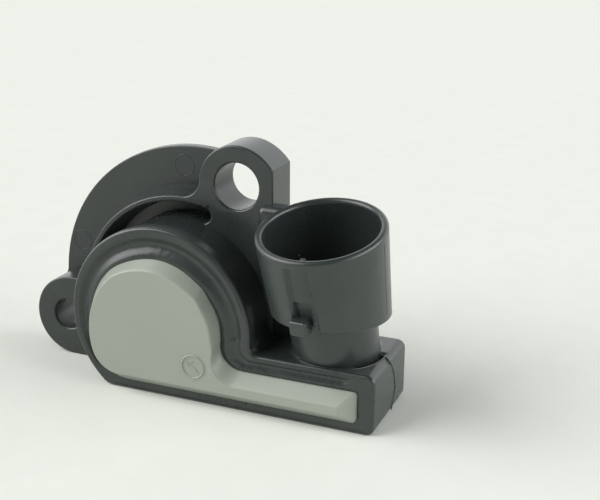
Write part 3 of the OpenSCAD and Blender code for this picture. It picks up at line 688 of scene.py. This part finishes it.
RING_FROM, RING_TO = 74.0, 186.0  # angles between which the ring stands
WIDE_TOP = 69.0  # angle at which the upper ear's wide arc passes into its own round
EAR_BACK, EAR_HOLE_EDGE = -0.3, 0.4  # depth of the ears' hidden back, rounding of their holes' mouths
PIN_PLACES, PIN_RADIUS = ((-2.0, 24.5), (-24.3, 7.7)), 1.9  # circles that the mould's ejector pins leave


def junction(s, grow=0.0):
    """Line where the cover leaves the swaged rim: a round whose radius swells a little between steps of the
    angle, and an arm."""
    crease = 43.2
    swell = lambda a: (0.34 * smooth(a, 110, 138) - 0.12 * smooth(a, 10, 30) + 0.2 * smooth(a, 46, 60)
                       - 0.17 * smooth(a, 80, 105) + 0.3 * tent(a, crease, 13))
    return outline((-0.65, -0.47), s.radius, side=13.9, corner=6.0, low=s.outer_low, end=s.outer_end,
                   top=-s.outer_arm, blend=4.0, tip=0.6, grow=grow, swell=swell, crease=crease)


def body_outline(h, radius, grow=0.0):
    """Round body with its foot. The blend to the foot's top is wider by what the round is short of the
    rim."""
    return outline((0, 0), radius, side=radius, corner=3.0, low=h.base_low, end=h.foot_end, top=-h.foot_drop,
                   blend=1.5 + h.rim_radius - radius, tip=h.foot_corner, grow=grow)


def dish_drop(c, x, y):
    """Depth of the scooped dish at a point of the foot's top: full inside the dish's radius, on the right
    front side of the neck only."""
    dx, dy = x - c.base_x, y + c.base_y
    reach, angle = np.hypot(dx, dy), np.degrees(np.arctan2(dy, dx))
    inside = 1 - smooth(reach, c.dish_radius - 0.12, c.dish_radius + 0.12)
    return c.dish_depth * window(angle, -71, -66, 2, 14) * inside


def parting_line(h, rim_y):
    """A hairline groove on the upper right of the rim's front: a V that is as deep as its gate on the
    angle."""
    groove = 0.14
    rows = []
    for inward, share in ((0.07, 0), (0.12, 1), (0.17, 0)):
        line = body_outline(h, h.rim_radius, -h.rim_round - inward)
        angle = np.degrees(np.arctan2(line[:, 1], line[:, 0]))
        rows.append(at_depth(line, rim_y))
        rows[-1][:, 1] += groove * share * window(angle, 12, 20, 60, 70)
    return rows


def swaged_band(h, s, rim_y):
    """Rows from the rim's land to the cover. Between knots at shares of the way, a smooth step leads from
    one depth to the next: land, trough, bead beside the cover, and the fall to it, deeper along the arm.
    Below the cover and at the arm's end the band is nearly flat. The bead is rough along the top and the
    arm: small chance steps, the same each time."""
    bead_depth, end_depth, flat_fall, roughness = 0.06, 0.1, 0.08, 0.022
    radius = h.rim_radius - h.rim_round - h.rim_land
    inner = outline((0, 0), radius, side=radius, corner=2.4, low=h.base_low - 0.6, end=h.foot_end - 0.7,
                    top=-h.foot_drop - 0.65, blend=2.0, tip=0.8)
    x, z = inner.T
    angle = np.degrees(np.arctan2(z, x)) % 360
    arm = smooth(x, 11, 17)
    wide = smooth(z, -12, -8) * (1 - smooth(x, 34.5, 36.5))
    open_gap = arm * smooth(z, -12.4, -11)
    meet = junction(s, 0.04) * open_gap[:, None] + junction(s, -0.25) * (1 - open_gap[:, None])
    none = np.zeros(len(inner))
    knots = (none, none + 0.03, 0.44 - 0.1 * arm, 0.93 - 0.12 * arm, none + 1)
    trough = 0.8 - 0.15 * arm - 0.25 * smooth(angle, 130, 160)
    depths = (none, none, trough, none + bead_depth, none + end_depth)
    coarse = np.maximum(arm, tent(angle, 85, 45)) * wide
    chance = np.random.default_rng(3)
    rows = []
    for u in np.concatenate([[0, 0.9], np.linspace(1, 4, 19)]):
        n = min(int(u), 3)
        v = u - n
        share = knots[n] * (1 - v) + knots[n + 1] * v
        step = smooth(v, 0, 1) if n < 3 else 1 - math.cos(v * math.pi / 2)
        depth = depths[n] + (depths[n + 1] - depths[n]) * step
        row = at_depth(inner * (1 - share[:, None]) + meet * share[:, None], rim_y)
        row[:, 1] += wide * depth + open_gap * (h.groove_depth - end_depth) * max(u - 3, 0)
        row[:, 1] += (1 - wide) * flat_fall * share
        if 1.8 < u < 3.2:
            row[:, 1] += chance.normal(0.0, roughness, len(row)) * coarse
        rows.append(row)
    return rows


def body_shell(h, s, c):
    """Rim, body and foot as rows of outlines from the back to the front, down the swaged slope to the
    cover, and back along the inside."""
    back, inside_back = -0.3, -0.6
    rim_y = -h.body_depth
    step_y = rim_y + h.rim_back
    groove_y = rim_y + h.groove_depth
    rows = [at_depth(body_outline(h, h.body_radius, -0.3), back + 0.04)]
    for y in np.linspace(back, step_y + 0.2, 46):
        row = at_depth(body_outline(h, h.body_radius), y)
        top = (np.abs(row[:, 2] + h.foot_drop) < 1e-6) & (row[:, 0] > h.side)
        row[top, 2] -= dish_drop(c, row[top, 0], y)
        rows.append(row)
    rise = h.rim_radius - h.body_radius
    for y, share in ((0.1, 0.04), (0.03, 0.2), (0.0, 0.55), (-0.03, 0.85), (-0.12, 1.0)):
        rows.append(at_depth(body_outline(h, h.body_radius + rise * share), step_y + y))
    for y in np.linspace(step_y - 0.3, rim_y + h.rim_round, 5):
        rows.append(at_depth(body_outline(h, h.rim_radius), y))
    for a, b in quarter(np.linspace(15, 90, 6)):
        rows.append(at_depth(body_outline(h, h.rim_radius, -h.rim_round * a), rim_y + h.rim_round * b))
    rows += parting_line(h, rim_y) + swaged_band(h, s, rim_y)
    inside = outline((0, 0), 12.4, side=12.4, corner=2.0, low=12.0, end=35.0, top=-5.0, blend=3.0, tip=1.0)
    rows += [at_depth(junction(s, 0.02), groove_y + 0.25), at_depth(junction(s, -0.6), groove_y + 0.5),
             at_depth(inside, rim_y + 2.0), at_depth(inside, inside_back)]
    return skin(np.array(rows), ring=True)


def ear_arcs(h, shrink=0.0):
    """Top of the upper ear's straight side, the wide arc over it, and the centre of the ear's own round."""
    wide = arc((9.9, 21.1), 9.46 - shrink, 36.9, WIDE_TOP, 2.5)
    return np.array([[h.side - shrink, wide[0, 1]]]), wide, np.array([h.upper_x, h.upper_z])


def flange_plate(h):
    """Flange plate with its holes, the straight side and the part behind the foot: arcs joined by concave
    fillets. Under the ears and the foot it stays a hair inside their edges."""
    hair, thin, over_radius, under_radius, bore = 0.02, 0.01, 1.2, 2.2, 8.1
    side, wide, upper = ear_arcs(h, hair)
    left, axis = np.array([h.left_x, h.left_z]), (0, 0)
    over = touch(axis, h.plate_radius, upper, h.upper_radius, over_radius, 1)
    under = touch(axis, h.plate_radius, left, h.left_radius, under_radius, -1)
    end, foot, foot_top, base = h.foot_end - thin, h.foot_corner, -h.foot_drop - thin, -h.base_low + thin
    loop = np.concatenate([
        [[left[0], base]],
        arc((end - foot, base + foot), foot, -90, 0, 15),
        arc((end - foot, foot_top - foot), foot, 0, 90, 15),
        [[h.side - hair, foot_top]], side, wide[1:-1],
        arc(upper, h.upper_radius - hair, WIDE_TOP, heading(upper, over), 2.5)[:-1],
        sweep(over, over_radius, upper, axis, 8, -1)[1:-1],
        sweep(axis, h.plate_radius, over, under, 2.4),
        sweep(under, under_radius, axis, left, 8, -1)[1:-1],
        arc(left, h.left_radius - hair, heading(left, under) % 360, 270)[:-1]])
    holes = [hole(upper, h.upper_hole + hair), hole((h.left_hole_x, h.left_hole_z), h.left_hole + hair),
             hole(axis, bore)]
    edge, mouth = (h.plate_edge, h.plate_edge), (0.0, 0.35)
    return plate([loop] + holes, -h.plate_thickness, 0.0, [edge, mouth, mouth, (0.0, 0.0)])


def upper_ear(h):
    """Upper ear with the solid side below it: it meets the ring in a fillet that has the ring's draft,
    and its inner end closes the groove inside the ring in a half round."""
    side, wide, upper = ear_arcs(h)
    ring, fillet_radius, draft = h.ring_radius, 3.5, 0.9
    groove_from, middle, half = 76.0, 18.05, 1.45
    fillet = touch((0, 0), ring, upper, h.upper_radius, fillet_radius, 1)
    ear = arc(upper, h.upper_radius, WIDE_TOP, heading(upper, fillet), 2.5)
    hollow = sweep(fillet, fillet_radius, upper, (0, 0), 4, -1)
    inside = np.concatenate([
        arc((0, 0), ring - 0.5, heading((0, 0), fillet), groove_from, 2.5),
        arc(polar(middle, groove_from), half, groove_from, groove_from - 180, 9),
        [[3.6, 14.4], [10.0, 8.0], [10.0, -3.5], [h.side, -3.5]]])  # these four are hidden in the body
    loop = np.concatenate([side, wide[1:-1], ear[:-1], hollow, inside])
    # share of the draft at each point: it grows along the fillet, and a little is left just past it
    weight = np.zeros(len(loop))
    first = len(side) + len(wide) - 2 + len(ear) - 1
    last = first + len(hollow)
    weight[first:last] = np.linspace(0, 1, len(hollow)) ** 1.3
    weight[last:last + 2] = 0.3
    return plate([loop, hole(upper, h.upper_hole)], -h.ear_depth, EAR_BACK,
                 [(h.ear_edge, 0.0), (EAR_HOLE_EDGE, 0.0)], draft * weight)


def left_ear(h):
    """Left ear: half a round, its straight top and the flat base, both run into the body."""
    base, inner_end = -h.base_low + 0.01, -12.0
    loop = np.concatenate([
        [[inner_end, base], [inner_end, h.left_z + h.left_radius]],
        arc((h.left_x, h.left_z), h.left_radius, 90, 270)[:-1], [[h.left_x, base]]])
    return plate([loop, hole((h.left_hole_x, h.left_hole_z), h.left_hole)], -h.ear_depth, EAR_BACK,
                 [(h.ear_edge, 0.0), (EAR_HOLE_EDGE, 0.0)])


def ring_wall(h):
    """Thin drafted ring round the body: a profile that narrows toward the front, turned over part of a
    circle."""
    front, back, ring = -h.ear_depth, -h.plate_thickness + 0.1, h.ring_radius
    profile = rounded_profile([(ring + 0.9, back), (ring, front), (ring - 0.9, front), (ring - 1.8, back)],
                              [0, 0.28, 0.28, 0])
    return turned(profile, RING_FROM, RING_TO, 1.0)


def thin_ring(centre, radius, half, depth, height):
    """A low ring on a flat face that looks to the front: half an ellipse turned about its centre."""
    t = np.radians(np.linspace(0, 180, 7))
    profile = np.stack([radius + half * np.cos(t), depth - height * np.sin(t)], -1)
    profile = np.vstack([profile, [radius - half, depth + 0.1], [radius + half, depth + 0.1]])
    return turned(profile, centre=centre, step=7.5)


def collar(h):
    """Pilot collar of the mounting side: a rounded profile turned about the rotor's axis, with its
    bearing as the bore."""
    back = -1.9
    return turned(rounded_profile([(h.collar_radius, -0.5), (h.collar_radius, h.collar_height),
                                   (h.bearing_radius, h.collar_height), (h.bearing_radius, back),
                                   (h.collar_radius - 0.3, back)], [0, 0.35, 0.3, 0, 0]))


def foot_flash(h):
    """Lines that the mould leaves on the foot, thin bars along short runs of points: one down its end and one
    over its top's corner."""
    end = [(-8.8, -3.2), (-7.2, -5.0), (-6.2, -6.7), (-5.4, -9.0), (-5.7, -10.2), (-6.3, -11.4),
           (-7.2, -12.8)]
    top = [(x, y, -h.foot_drop) for x, y in ((36.4, -7.3), (37.4, -7.7), (38.1, -8.2))]
    top += [(38.75, -8.6, -2.95), (39.05, -8.75, -3.15)]
    return [tube([(h.foot_end, y, z) for y, z in end], 0.12), tube(top, 0.12)]


# ---------------------------------------------------------------- the cover's shapes

MARK_PLACE, MARK_TURN = (7.5, -5.7), 135.0  # middle of the plain mark, and where its pointer points


def cover_shell(h, s, face_y):
    """Cover: straight shares of the way from the junction to the face's edge, then the parabola (1-u)^2
    slope + 2u(1-u) edge + u^2 face into the flat face."""
    crease, bevel_end = 39.7, 0.85
    groove_y = -h.body_depth + h.groove_depth
    swell = lambda a: (0.5 * smooth(a, 95, 138) - 0.45 * smooth(a, -12, 5) - 0.4 * smooth(a, 5, 46)
                       + 0.36 * tent(a, crease, 13))
    face = lambda grow: outline((-0.6, -0.85), s.face_radius, side=13.95, corner=5.2, low=s.face_low,
                                end=s.face_end, top=-s.face_arm, blend=4.0, tip=0.2 + s.edge, grow=grow,
                                swell=swell, crease=crease)
    outer, crest, inner = junction(s), face(0.0), face(-s.edge)
    low_y = groove_y - 0.05
    slope = lambda t: (outer * (1 - t) + crest * t, low_y + (face_y - low_y) * t)
    rows = [at_depth(junction(s, -0.02), groove_y + 0.8), at_depth(outer, low_y + 0.1)]
    rows += [at_depth(*slope(t)) for t in (0.0, 0.2, 0.4, 0.6, 0.75, bevel_end)]
    end, end_y = slope(bevel_end)
    for u in (0.2, 0.4, 0.6, 0.8, 1.0):
        a, b, d = (1 - u) ** 2, 2 * u * (1 - u), u * u
        rows.append(at_depth(a * end + b * crest + d * inner, a * end_y + (b + d) * face_y))
    return capped([np.array(rows)])


def plain_mark(s, face_y):
    """Plain raised ring with a pointer in it: a shaft and two short barbs."""
    along, across = polar(1.0, MARK_TURN), polar(1.0, MARK_TURN + 90)
    parts = [thin_ring(MARK_PLACE, s.mark_radius, 0.16, face_y, 0.24)]
    tip = (1.3, 0)
    for start, end in (((-1.3, 0), tip), (tip, (0.6, 0.65)), (tip, (0.6, -0.65))):
        line = np.linspace(start, end, 5)
        spots = np.array(MARK_PLACE) + line[:, :1] * along + line[:, 1:] * across
        parts.append(tube(at_depth(spots, face_y + 0.02), 0.18))
    return parts


# ---------------------------------------------------------------- the connector's shapes

CHANNEL_LEFT, CHANNEL_RIGHT, NUB_ANGLE = -104.0, -82.0, -97.0  # angles about the axis, from the right
CHANNEL_SLANT = 4.0  # degrees by which the channel's right edge moves from the mouth to its low end
POCKET_DROP, NUB_DROP = 8.0, 10.9  # from the mouth down to the tops of the pocket and of the nub
WALL_LOW, WALL_RISE = 8.0, 15.0  # height at which the outer wall starts to widen, and over which it does


def connector_frame(c):
    """Turn of the connector's own frame, whose Z is its axis: a lean about X, then a tilt about Y."""
    (ca, sa), (cb, sb) = ((math.cos(t), math.sin(t)) for t in (c.lean, -c.tilt))
    return np.array([[cb, 0, sb], [0, 1, 0], [-sb, 0, cb]]) @ np.array([[1, 0, 0], [0, ca, -sa], [0, sa, ca]])


def on_connector(c, h, points):
    """Points of the connector's frame in the part's frame."""
    return points @ connector_frame(c).T + np.array([c.base_x, -c.base_y, -h.foot_drop])


def at_level(c, h, z, radius, angle):
    """Height along the connector's axis at which a point of the given radius and angle is level with z: the
    level's height less the radius times the lean in that direction, over the axis's own rise."""
    tilt = connector_frame(c)[2]
    t = np.radians(angle)
    return (z + h.foot_drop - radius * (tilt[0] * np.cos(t) + tilt[1] * np.sin(t))) / tilt[2]


def bore_rows(c, angle):
    """Radii and heights from the bore's floor up to the outside of the lip: a quarter round, an evenly
    widening bore, less the key rib at its angles, and the lip's round edge."""
    top, lip, rib_height, floor_round = c.height, c.lip, 0.9, 0.4
    floor = top - c.bore_depth
    rows = [(0.02, floor), (4.0, floor)]
    rows += [(c.floor_radius - floor_round * b, floor + floor_round * a)
             for a, b in quarter(np.linspace(0, 90, 5))]
    rib = window(angle, -95.5, -94.5, -45.5, -44.5)
    for w in np.concatenate([np.linspace(floor + 0.8, top - 2.0, 9), np.linspace(top - 1.8, top - 1.3, 6),
                             np.linspace(top - 1.1, top - lip, 3)]):
        bore = c.floor_radius + (c.bore_radius - c.floor_radius) * (w - floor) / c.bore_depth
        rows.append((bore - rib_height * rib * (1 - smooth(w, top - 1.75, top - 1.4)), w))
    rows += [(c.bore_radius + lip * (2 - a), top - lip * b) for a, b in quarter(np.linspace(165, 90, 6))]
    return rows + [(c.mouth_radius - lip * a, top - lip * b) for a, b in quarter(np.linspace(90, 0, 8))]


def outer_rows(c, h, angle):
    """Radii and heights down the outer wall, which narrows evenly, to the round of its level lower end.
    The latch channel, with its slanting right edge, and the deeper pocket above the nub are taken off at
    their angles."""
    top, lip, end_round, pocket_depth = c.height, c.lip, 0.16, 0.55
    pocket_top, nub_top = top - POCKET_DROP, top - NUB_DROP
    heights = np.concatenate([np.linspace(top - 0.8, top - 1.1, 2), np.linspace(top - 1.2, top - 1.7, 6),
                              np.linspace(top - 2.3, pocket_top + 0.5, 8),
                              np.linspace(pocket_top + 0.3, pocket_top - 0.5, 9),
                              np.linspace(pocket_top - 0.8, nub_top - 0.2, 7)])
    low = at_level(c, h, c.lower_end, c.low_radius, angle)
    below = [heights[-1] * (1 - t) + (low + end_round) * t for t in np.linspace(0.08, 1, 14)]
    narrow = (c.lower_end + h.foot_drop) / connector_frame(c)[2, 2]
    rows = []
    for w in [*heights, *below]:
        share = np.clip((w - narrow) / (top - lip - narrow), -0.2, 1)
        right = CHANNEL_RIGHT + CHANNEL_SLANT * (1 - smooth(w, top - 14.0, top - 1.0))
        sunk = window(angle, CHANNEL_LEFT - 1.0, CHANNEL_LEFT + 4.5, right - 0.5, right)
        sunk = sunk * (1 - smooth(w, top - 1.65, top - 1.25))
        deep = window(angle, CHANNEL_LEFT + 1.5, CHANNEL_LEFT + 4, right - 5.5, right - 4.5)
        deep = deep * window(w, nub_top - 1.4, nub_top - 1.0, pocket_top - 0.25, pocket_top + 0.15)
        rows.append((c.low_radius + (c.mouth_radius - c.low_radius) * share
                     - c.channel_depth * sunk - pocket_depth * deep, w))
    end_radius = rows[-1][0]
    return rows + [(end_radius - end_round * a, low + end_round * b) for a, b in quarter((25, 50, 70, 90))]


def neck_rows(c, h, angle):
    """Radii and heights in along the shroud's level lower end, down the neck, and out over its fillet to
    the foot's top, where the fillet fades out toward the dish."""
    neck, fillet, neck_round = c.neck_radius, c.neck_fillet, 0.3
    level = lambda z, radius: at_level(c, h, z, radius, angle)
    top, ground = level(c.lower_end, neck), level(-h.foot_drop, neck)
    shown = np.where(angle > 0, smooth(angle, 15, 45), 1 - smooth(angle, -150, -115))
    rows = [(r, level(c.lower_end, r)) for r in (9.2, 8.6, 8.0, neck + neck_round)]
    rows += [(neck + neck_round * b, top - neck_round * a) for a, b in quarter((30, 60, 90))]
    rows += [(neck, (top - 0.6) * (1 - t) + (ground + fillet) * t) for t in np.linspace(0, 1, 10)]
    rows += [(neck + fillet * a * shown, level(-h.foot_drop, neck + fillet * a) + fillet * b)
             for a, b in quarter((15, 30, 45, 60, 75, 90))]
    return rows + [(neck + fillet * shown, ground - 0.9)]


def shroud(c, h):
    """Shroud and neck, turned about the connector's axis: radius and height are functions of the angle
    and of the place along the profile. The angles are closer at the edges of the channel and of the key
    rib."""
    angle = np.unique(np.round(np.concatenate([
        np.arange(-180, 180, 2.0), np.arange(-108, -74, 0.35), np.arange(-47, -43, 0.5),
        np.arange(-97.5, -92.5, 0.5)]), 3))
    t = np.radians(angle)
    rows = bore_rows(c, angle) + outer_rows(c, h, angle) + neck_rows(c, h, angle)
    points, faces = skin(np.array([np.stack([r * np.cos(t), r * np.sin(t), w + 0 * t], -1) for r, w in rows]))
    return on_connector(c, h, points), faces


def shroud_flash(c, h):
    """Fine lines on the shroud, each a thin bar half sunk in its outer wall: down its right side, beside
    the latch channel, and along the front of its lower end."""
    count = 14
    end = np.linspace(CHANNEL_RIGHT, 20.0, 40)
    lines = ((np.full(count, -5.0), np.linspace(9.0, 22.3, count), 0.07),
             (np.linspace(CHANNEL_RIGHT, CHANNEL_RIGHT + CHANNEL_SLANT, count),
              np.linspace(8.4, 22.1, count), 0.06),
             (end, at_level(c, h, c.lower_end, c.low_radius, end) + 0.05, 0.06))
    bars = []
    for angle, height, thickness in lines:
        radius = c.low_radius + (c.mouth_radius - c.low_radius) * (height - WALL_LOW) / WALL_RISE - 0.02
        t = np.radians(angle)
        line = np.stack([radius * np.cos(t), radius * np.sin(t), height], -1)
        bars.append(tube(on_connector(c, h, line), thickness))
    return bars


def latch_nub(c, h):
    """Latch nub: a round-edged block on the shroud's front, under the pocket."""
    top, half, inner = c.height - NUB_DROP, c.nub_width / 2, 8.6
    t = math.radians(NUB_ANGLE)
    turn = np.array([[math.cos(t), math.sin(t), 0], [-math.sin(t), math.cos(t), 0], [0, 0, 1]])
    return rounded_block((inner, -half, top - c.nub_height), (c.nub_radius, half, top), 0.4,
                         lambda points: on_connector(c, h, points @ turn))


def mouth_web(h):
    """Web between the ear's straight side and the back of the shroud: two round-edged blocks, the lower one
    thinner."""
    inner = h.side - 2.5
    return [rounded_block((inner, -8.8, 11.5), (20.8, -4.6, 20.7), 1.2),
            rounded_block((inner, -6.6, -h.foot_drop - 0.5), (22.0, -4.8, 12.5), 0.5)]


def dish_rim(c, h):
    """Thin rounded edge of the scooped dish, and its thinner run round the front of the neck: two bars along
    arcs about the connector's foot."""
    bars = []
    for radius, start, end, thickness in ((c.dish_radius + 0.1, -68, 6, 0.13),
                                          (c.neck_radius + 0.45, -150, -66, 0.09)):
        line = arc((c.base_x, -c.base_y), radius, start, end)
        bars.append(tube(np.column_stack([line, np.full(len(line), -h.foot_drop)]), thickness))
    return bars


# ---------------------------------------------------------------- operators

class SENSOR_OT_body(bpy.types.Operator):
    """Builds the rim, body and foot"""
    bl_idname = "sensor.body"
    bl_label = "Body"

    def execute(self, context):
        scene = context.scene
        h, s, c = sizes(scene.sensor_housing), sizes(scene.sensor_cover), sizes(scene.sensor_connector)
        housing_piece("housing_body", [body_shell(h, s, c), *foot_flash(h)])
        return {"FINISHED"}


class SENSOR_OT_flange(bpy.types.Operator):
    """Builds the flange plate, the ring and the two ears"""
    bl_idname = "sensor.flange"
    bl_label = "Flange and ears"

    def execute(self, context):
        h = sizes(context.scene.sensor_housing)
        pins = [thin_ring(place, PIN_RADIUS, 0.09, -h.plate_thickness, 0.05) for place in PIN_PLACES]
        housing_piece("housing_flange", [flange_plate(h), ring_wall(h), *pins])
        housing_piece("housing_ears", [upper_ear(h), left_ear(h)])
        return {"FINISHED"}


class SENSOR_OT_connector(bpy.types.Operator):
    """Builds the connector's shroud, neck, latch nub and web"""
    bl_idname = "sensor.connector"
    bl_label = "Connector"

    def execute(self, context):
        h, c = sizes(context.scene.sensor_housing), sizes(context.scene.sensor_connector)
        housing_piece("housing_connector", [shroud(c, h), latch_nub(c, h), *mouth_web(h), *dish_rim(c, h),
                                            *shroud_flash(c, h)])
        return {"FINISHED"}


class SENSOR_OT_collar(bpy.types.Operator):
    """Builds the pilot collar of the mounting side"""
    bl_idname = "sensor.collar"
    bl_label = "Pilot collar"

    def execute(self, context):
        housing_piece("housing_collar", [collar(sizes(context.scene.sensor_housing))])
        return {"FINISHED"}


class SENSOR_OT_cover(bpy.types.Operator):
    """Builds the grey cover with its bevel and plain mark"""
    bl_idname = "sensor.cover"
    bl_label = "Cover"

    def execute(self, context):
        h, s = sizes(context.scene.sensor_housing), sizes(context.scene.sensor_cover)
        face_y = -h.body_depth - s.rise
        make_piece("rear_cover_shell", [cover_shell(h, s, face_y), *plain_mark(s, face_y)],
                   finish_of("grey_moulding"), FIXED_BODY, ["rear_cover"])
        return {"FINISHED"}


class SENSOR_OT_terminals(bpy.types.Operator):
    """Dresses the three tinned terminals"""
    bl_idname = "sensor.terminals"
    bl_label = "Terminals"

    def execute(self, context):
        for letter in "abc":
            softened(f"terminal_{letter}", f"terminal_{letter}_strip", finish_of("tin_plate"), FIXED_BODY,
                     0.1)
        return {"FINISHED"}


class SENSOR_OT_rotor(bpy.types.Operator):
    """Dresses the white rotor"""
    bl_idname = "sensor.rotor"
    bl_label = "Rotor"

    def execute(self, context):
        softened("rotor", "rotor_moulding", finish_of("white_moulding"), TURNING_BODY, 0.15)
        return {"FINISHED"}


class SENSOR_OT_inner_parts(bpy.types.Operator):
    """Gives the parts inside the body their finishes"""
    bl_idname = "sensor.inner_parts"
    bl_label = "Inner parts"

    def execute(self, context):
        finishes = {"cover_sealant": "sealant", "terminal_seal": "sealant", "element_board": "board",
                    "resistive_track": "carbon_print", "collector_track": "carbon_print",
                    "wiper": "brass", "return_spring": "spring_steel", "wave_washer": "spring_steel"}
        for letter in "abc":
            finishes[f"conductor_{letter}"], finishes[f"rivet_{letter}"] = "silver_print", "brass"
        for node, kind in finishes.items():
            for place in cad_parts[node].material_slots:
                place.material = finish_of(kind)
        return {"FINISHED"}


class SENSOR_OT_stage(bpy.types.Operator):
    """Sets the pale floor, the soft lights and the camera"""
    bl_idname = "sensor.stage"
    bl_label = "Stage"

    def execute(self, context):
        scene = context.scene
        h, st = sizes(scene.sensor_housing), sizes(scene.sensor_stage)
        self.floor(scene, st, -h.base_low)
        self.room(scene, st)
        self.lamp(scene, "key", st.key, (-0.75, -0.45, 0.62), 55.0, (1.0, 1.0, 0.98))
        self.lamp(scene, "fill", st.fill, (1.0, 0.1, 0.3), 60.0, (0.98, 1.0, 1.0))
        self.camera(scene, st)
        scene.view_settings.view_transform = "Standard"
        return {"FINISHED"}

    def floor(self, scene, st, low):
        """A wide square of pale paper at the given height, without a sheen of its own."""
        reach = 3000.0
        corners = np.array([(-reach, -reach, low), (reach, -reach, low), (reach, reach, low),
                            (-reach, reach, low)])
        mesh = bpy.data.meshes.new("floor")
        mesh.from_pydata((corners * MM).tolist(), [], [(0, 1, 2, 3)])
        floor = bpy.data.objects.new("floor", mesh)
        scene.collection.objects.link(floor)
        mesh.materials.append(matt("floor_paper", st.floor, toned(st.floor, 0.985), 0.9, 0.00002, 900.0, 0.0))

    def room(self, scene, st):
        """Even light from all sides. Gloss sees pale walls near the horizon, behind the object and on its
        right, and a dim room elsewhere. The camera sees the backdrop's colour."""
        scene.world = bpy.data.worlds.new("room")
        f = Finish("room", scene.world)
        direction = f.node("ShaderNodeTexCoord", output="Generated")
        x, y, z = (f.node("ShaderNodeSeparateXYZ", {}, {0: direction}, n) for n in range(3))
        sideways = f.node("ShaderNodeMath", {"operation": "ABSOLUTE"}, {0: x})
        wall = f.between(z, 0.95, 0.4) * f.between(y + sideways * 0.9, -0.3, 0.5)
        seen = f.node("ShaderNodeLightPath", output="Is Camera Ray")
        gloss = f.node("ShaderNodeLightPath", output="Is Glossy Ray")
        strength = st.ambient + gloss * (wall * (st.walls - st.gloom) + (st.gloom - st.ambient))
        light = f.node("ShaderNodeBackground", {}, {"Color": (0.97, 1.0, 1.0), "Strength": strength})
        backdrop = f.node("ShaderNodeBackground", {}, {"Color": st.backdrop, "Strength": 1.0})
        mix = f.node("ShaderNodeMixShader", {}, {0: seen, 1: light, 2: backdrop})
        f.node("ShaderNodeOutputWorld", {}, {"Surface": mix})

    def lamp(self, scene, name, strength, source, width, tint):
        """A far soft lamp that shines from the direction of source over a width in degrees."""
        data = bpy.data.lights.new(name, "SUN")
        data.energy, data.angle, data.color = strength, math.radians(width), tint
        lamp = bpy.data.objects.new(name, data)
        scene.collection.objects.link(lamp)
        lamp.rotation_mode = "QUATERNION"
        lamp.rotation_quaternion = Vector(source).to_track_quat("Z", "Y")

    def camera(self, scene, st):
        """A camera at the given distance from its target: back points from the target to it, and the
        right and up directions are turned about it by the roll."""
        a, e, r = st.azimuth, st.elevation, st.roll
        back = Vector((math.sin(a) * math.cos(e), -math.cos(a) * math.cos(e), math.sin(e)))
        right = Vector((math.cos(a), math.sin(a), 0))
        up = back.cross(right)
        across = right * math.cos(r) + up * math.sin(r)
        upward = -right * math.sin(r) + up * math.cos(r)
        eye = (Vector((st.target_x, st.target_y, st.target_z)) + back * st.distance) * MM
        data = bpy.data.cameras.new("camera")
        data.sensor_width, data.lens = 36.0, st.focal
        data.clip_start, data.clip_end = 0.005, 20.0
        camera = bpy.data.objects.new("camera", data)
        scene.collection.objects.link(camera)
        camera.matrix_world = Matrix((*zip(across, upward, back, eye), (0, 0, 0, 1)))
        scene.camera = camera


class SENSOR_PT_sidebar(bpy.types.Panel):
    """Lists the sensor's build steps"""
    bl_label = "Throttle position sensor"
    bl_idname = "SENSOR_PT_sidebar"
    bl_space_type = "VIEW_3D"
    bl_region_type = "UI"
    bl_category = "Sensor"

    def draw(self, context):
        for step in STEPS:
            self.layout.operator(step.bl_idname)


GROUPS = {"sensor_housing": SensorHousingSizes, "sensor_cover": SensorCoverSizes,
          "sensor_connector": SensorConnectorSizes, "sensor_finishes": SensorFinishes,
          "sensor_stage": SensorStage}
STEPS = (SENSOR_OT_body, SENSOR_OT_flange, SENSOR_OT_connector, SENSOR_OT_collar, SENSOR_OT_cover,
         SENSOR_OT_terminals, SENSOR_OT_rotor, SENSOR_OT_inner_parts, SENSOR_OT_stage)


def register():
    for cls in (*GROUPS.values(), *STEPS, SENSOR_PT_sidebar):
        bpy.utils.register_class(cls)
    for name, cls in GROUPS.items():
        setattr(bpy.types.Scene, name, bpy.props.PointerProperty(type=cls))


def unregister():
    for name in GROUPS:
        delattr(bpy.types.Scene, name)
    for cls in reversed((*GROUPS.values(), *STEPS, SENSOR_PT_sidebar)):
        bpy.utils.unregister_class(cls)


def main():
    """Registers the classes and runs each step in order."""
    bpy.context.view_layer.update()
    register()
    for step in STEPS:
        group, name = step.bl_idname.split(".")
        getattr(getattr(bpy.ops, group), name)()
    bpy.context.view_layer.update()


if __name__ == "__main__":
    main()
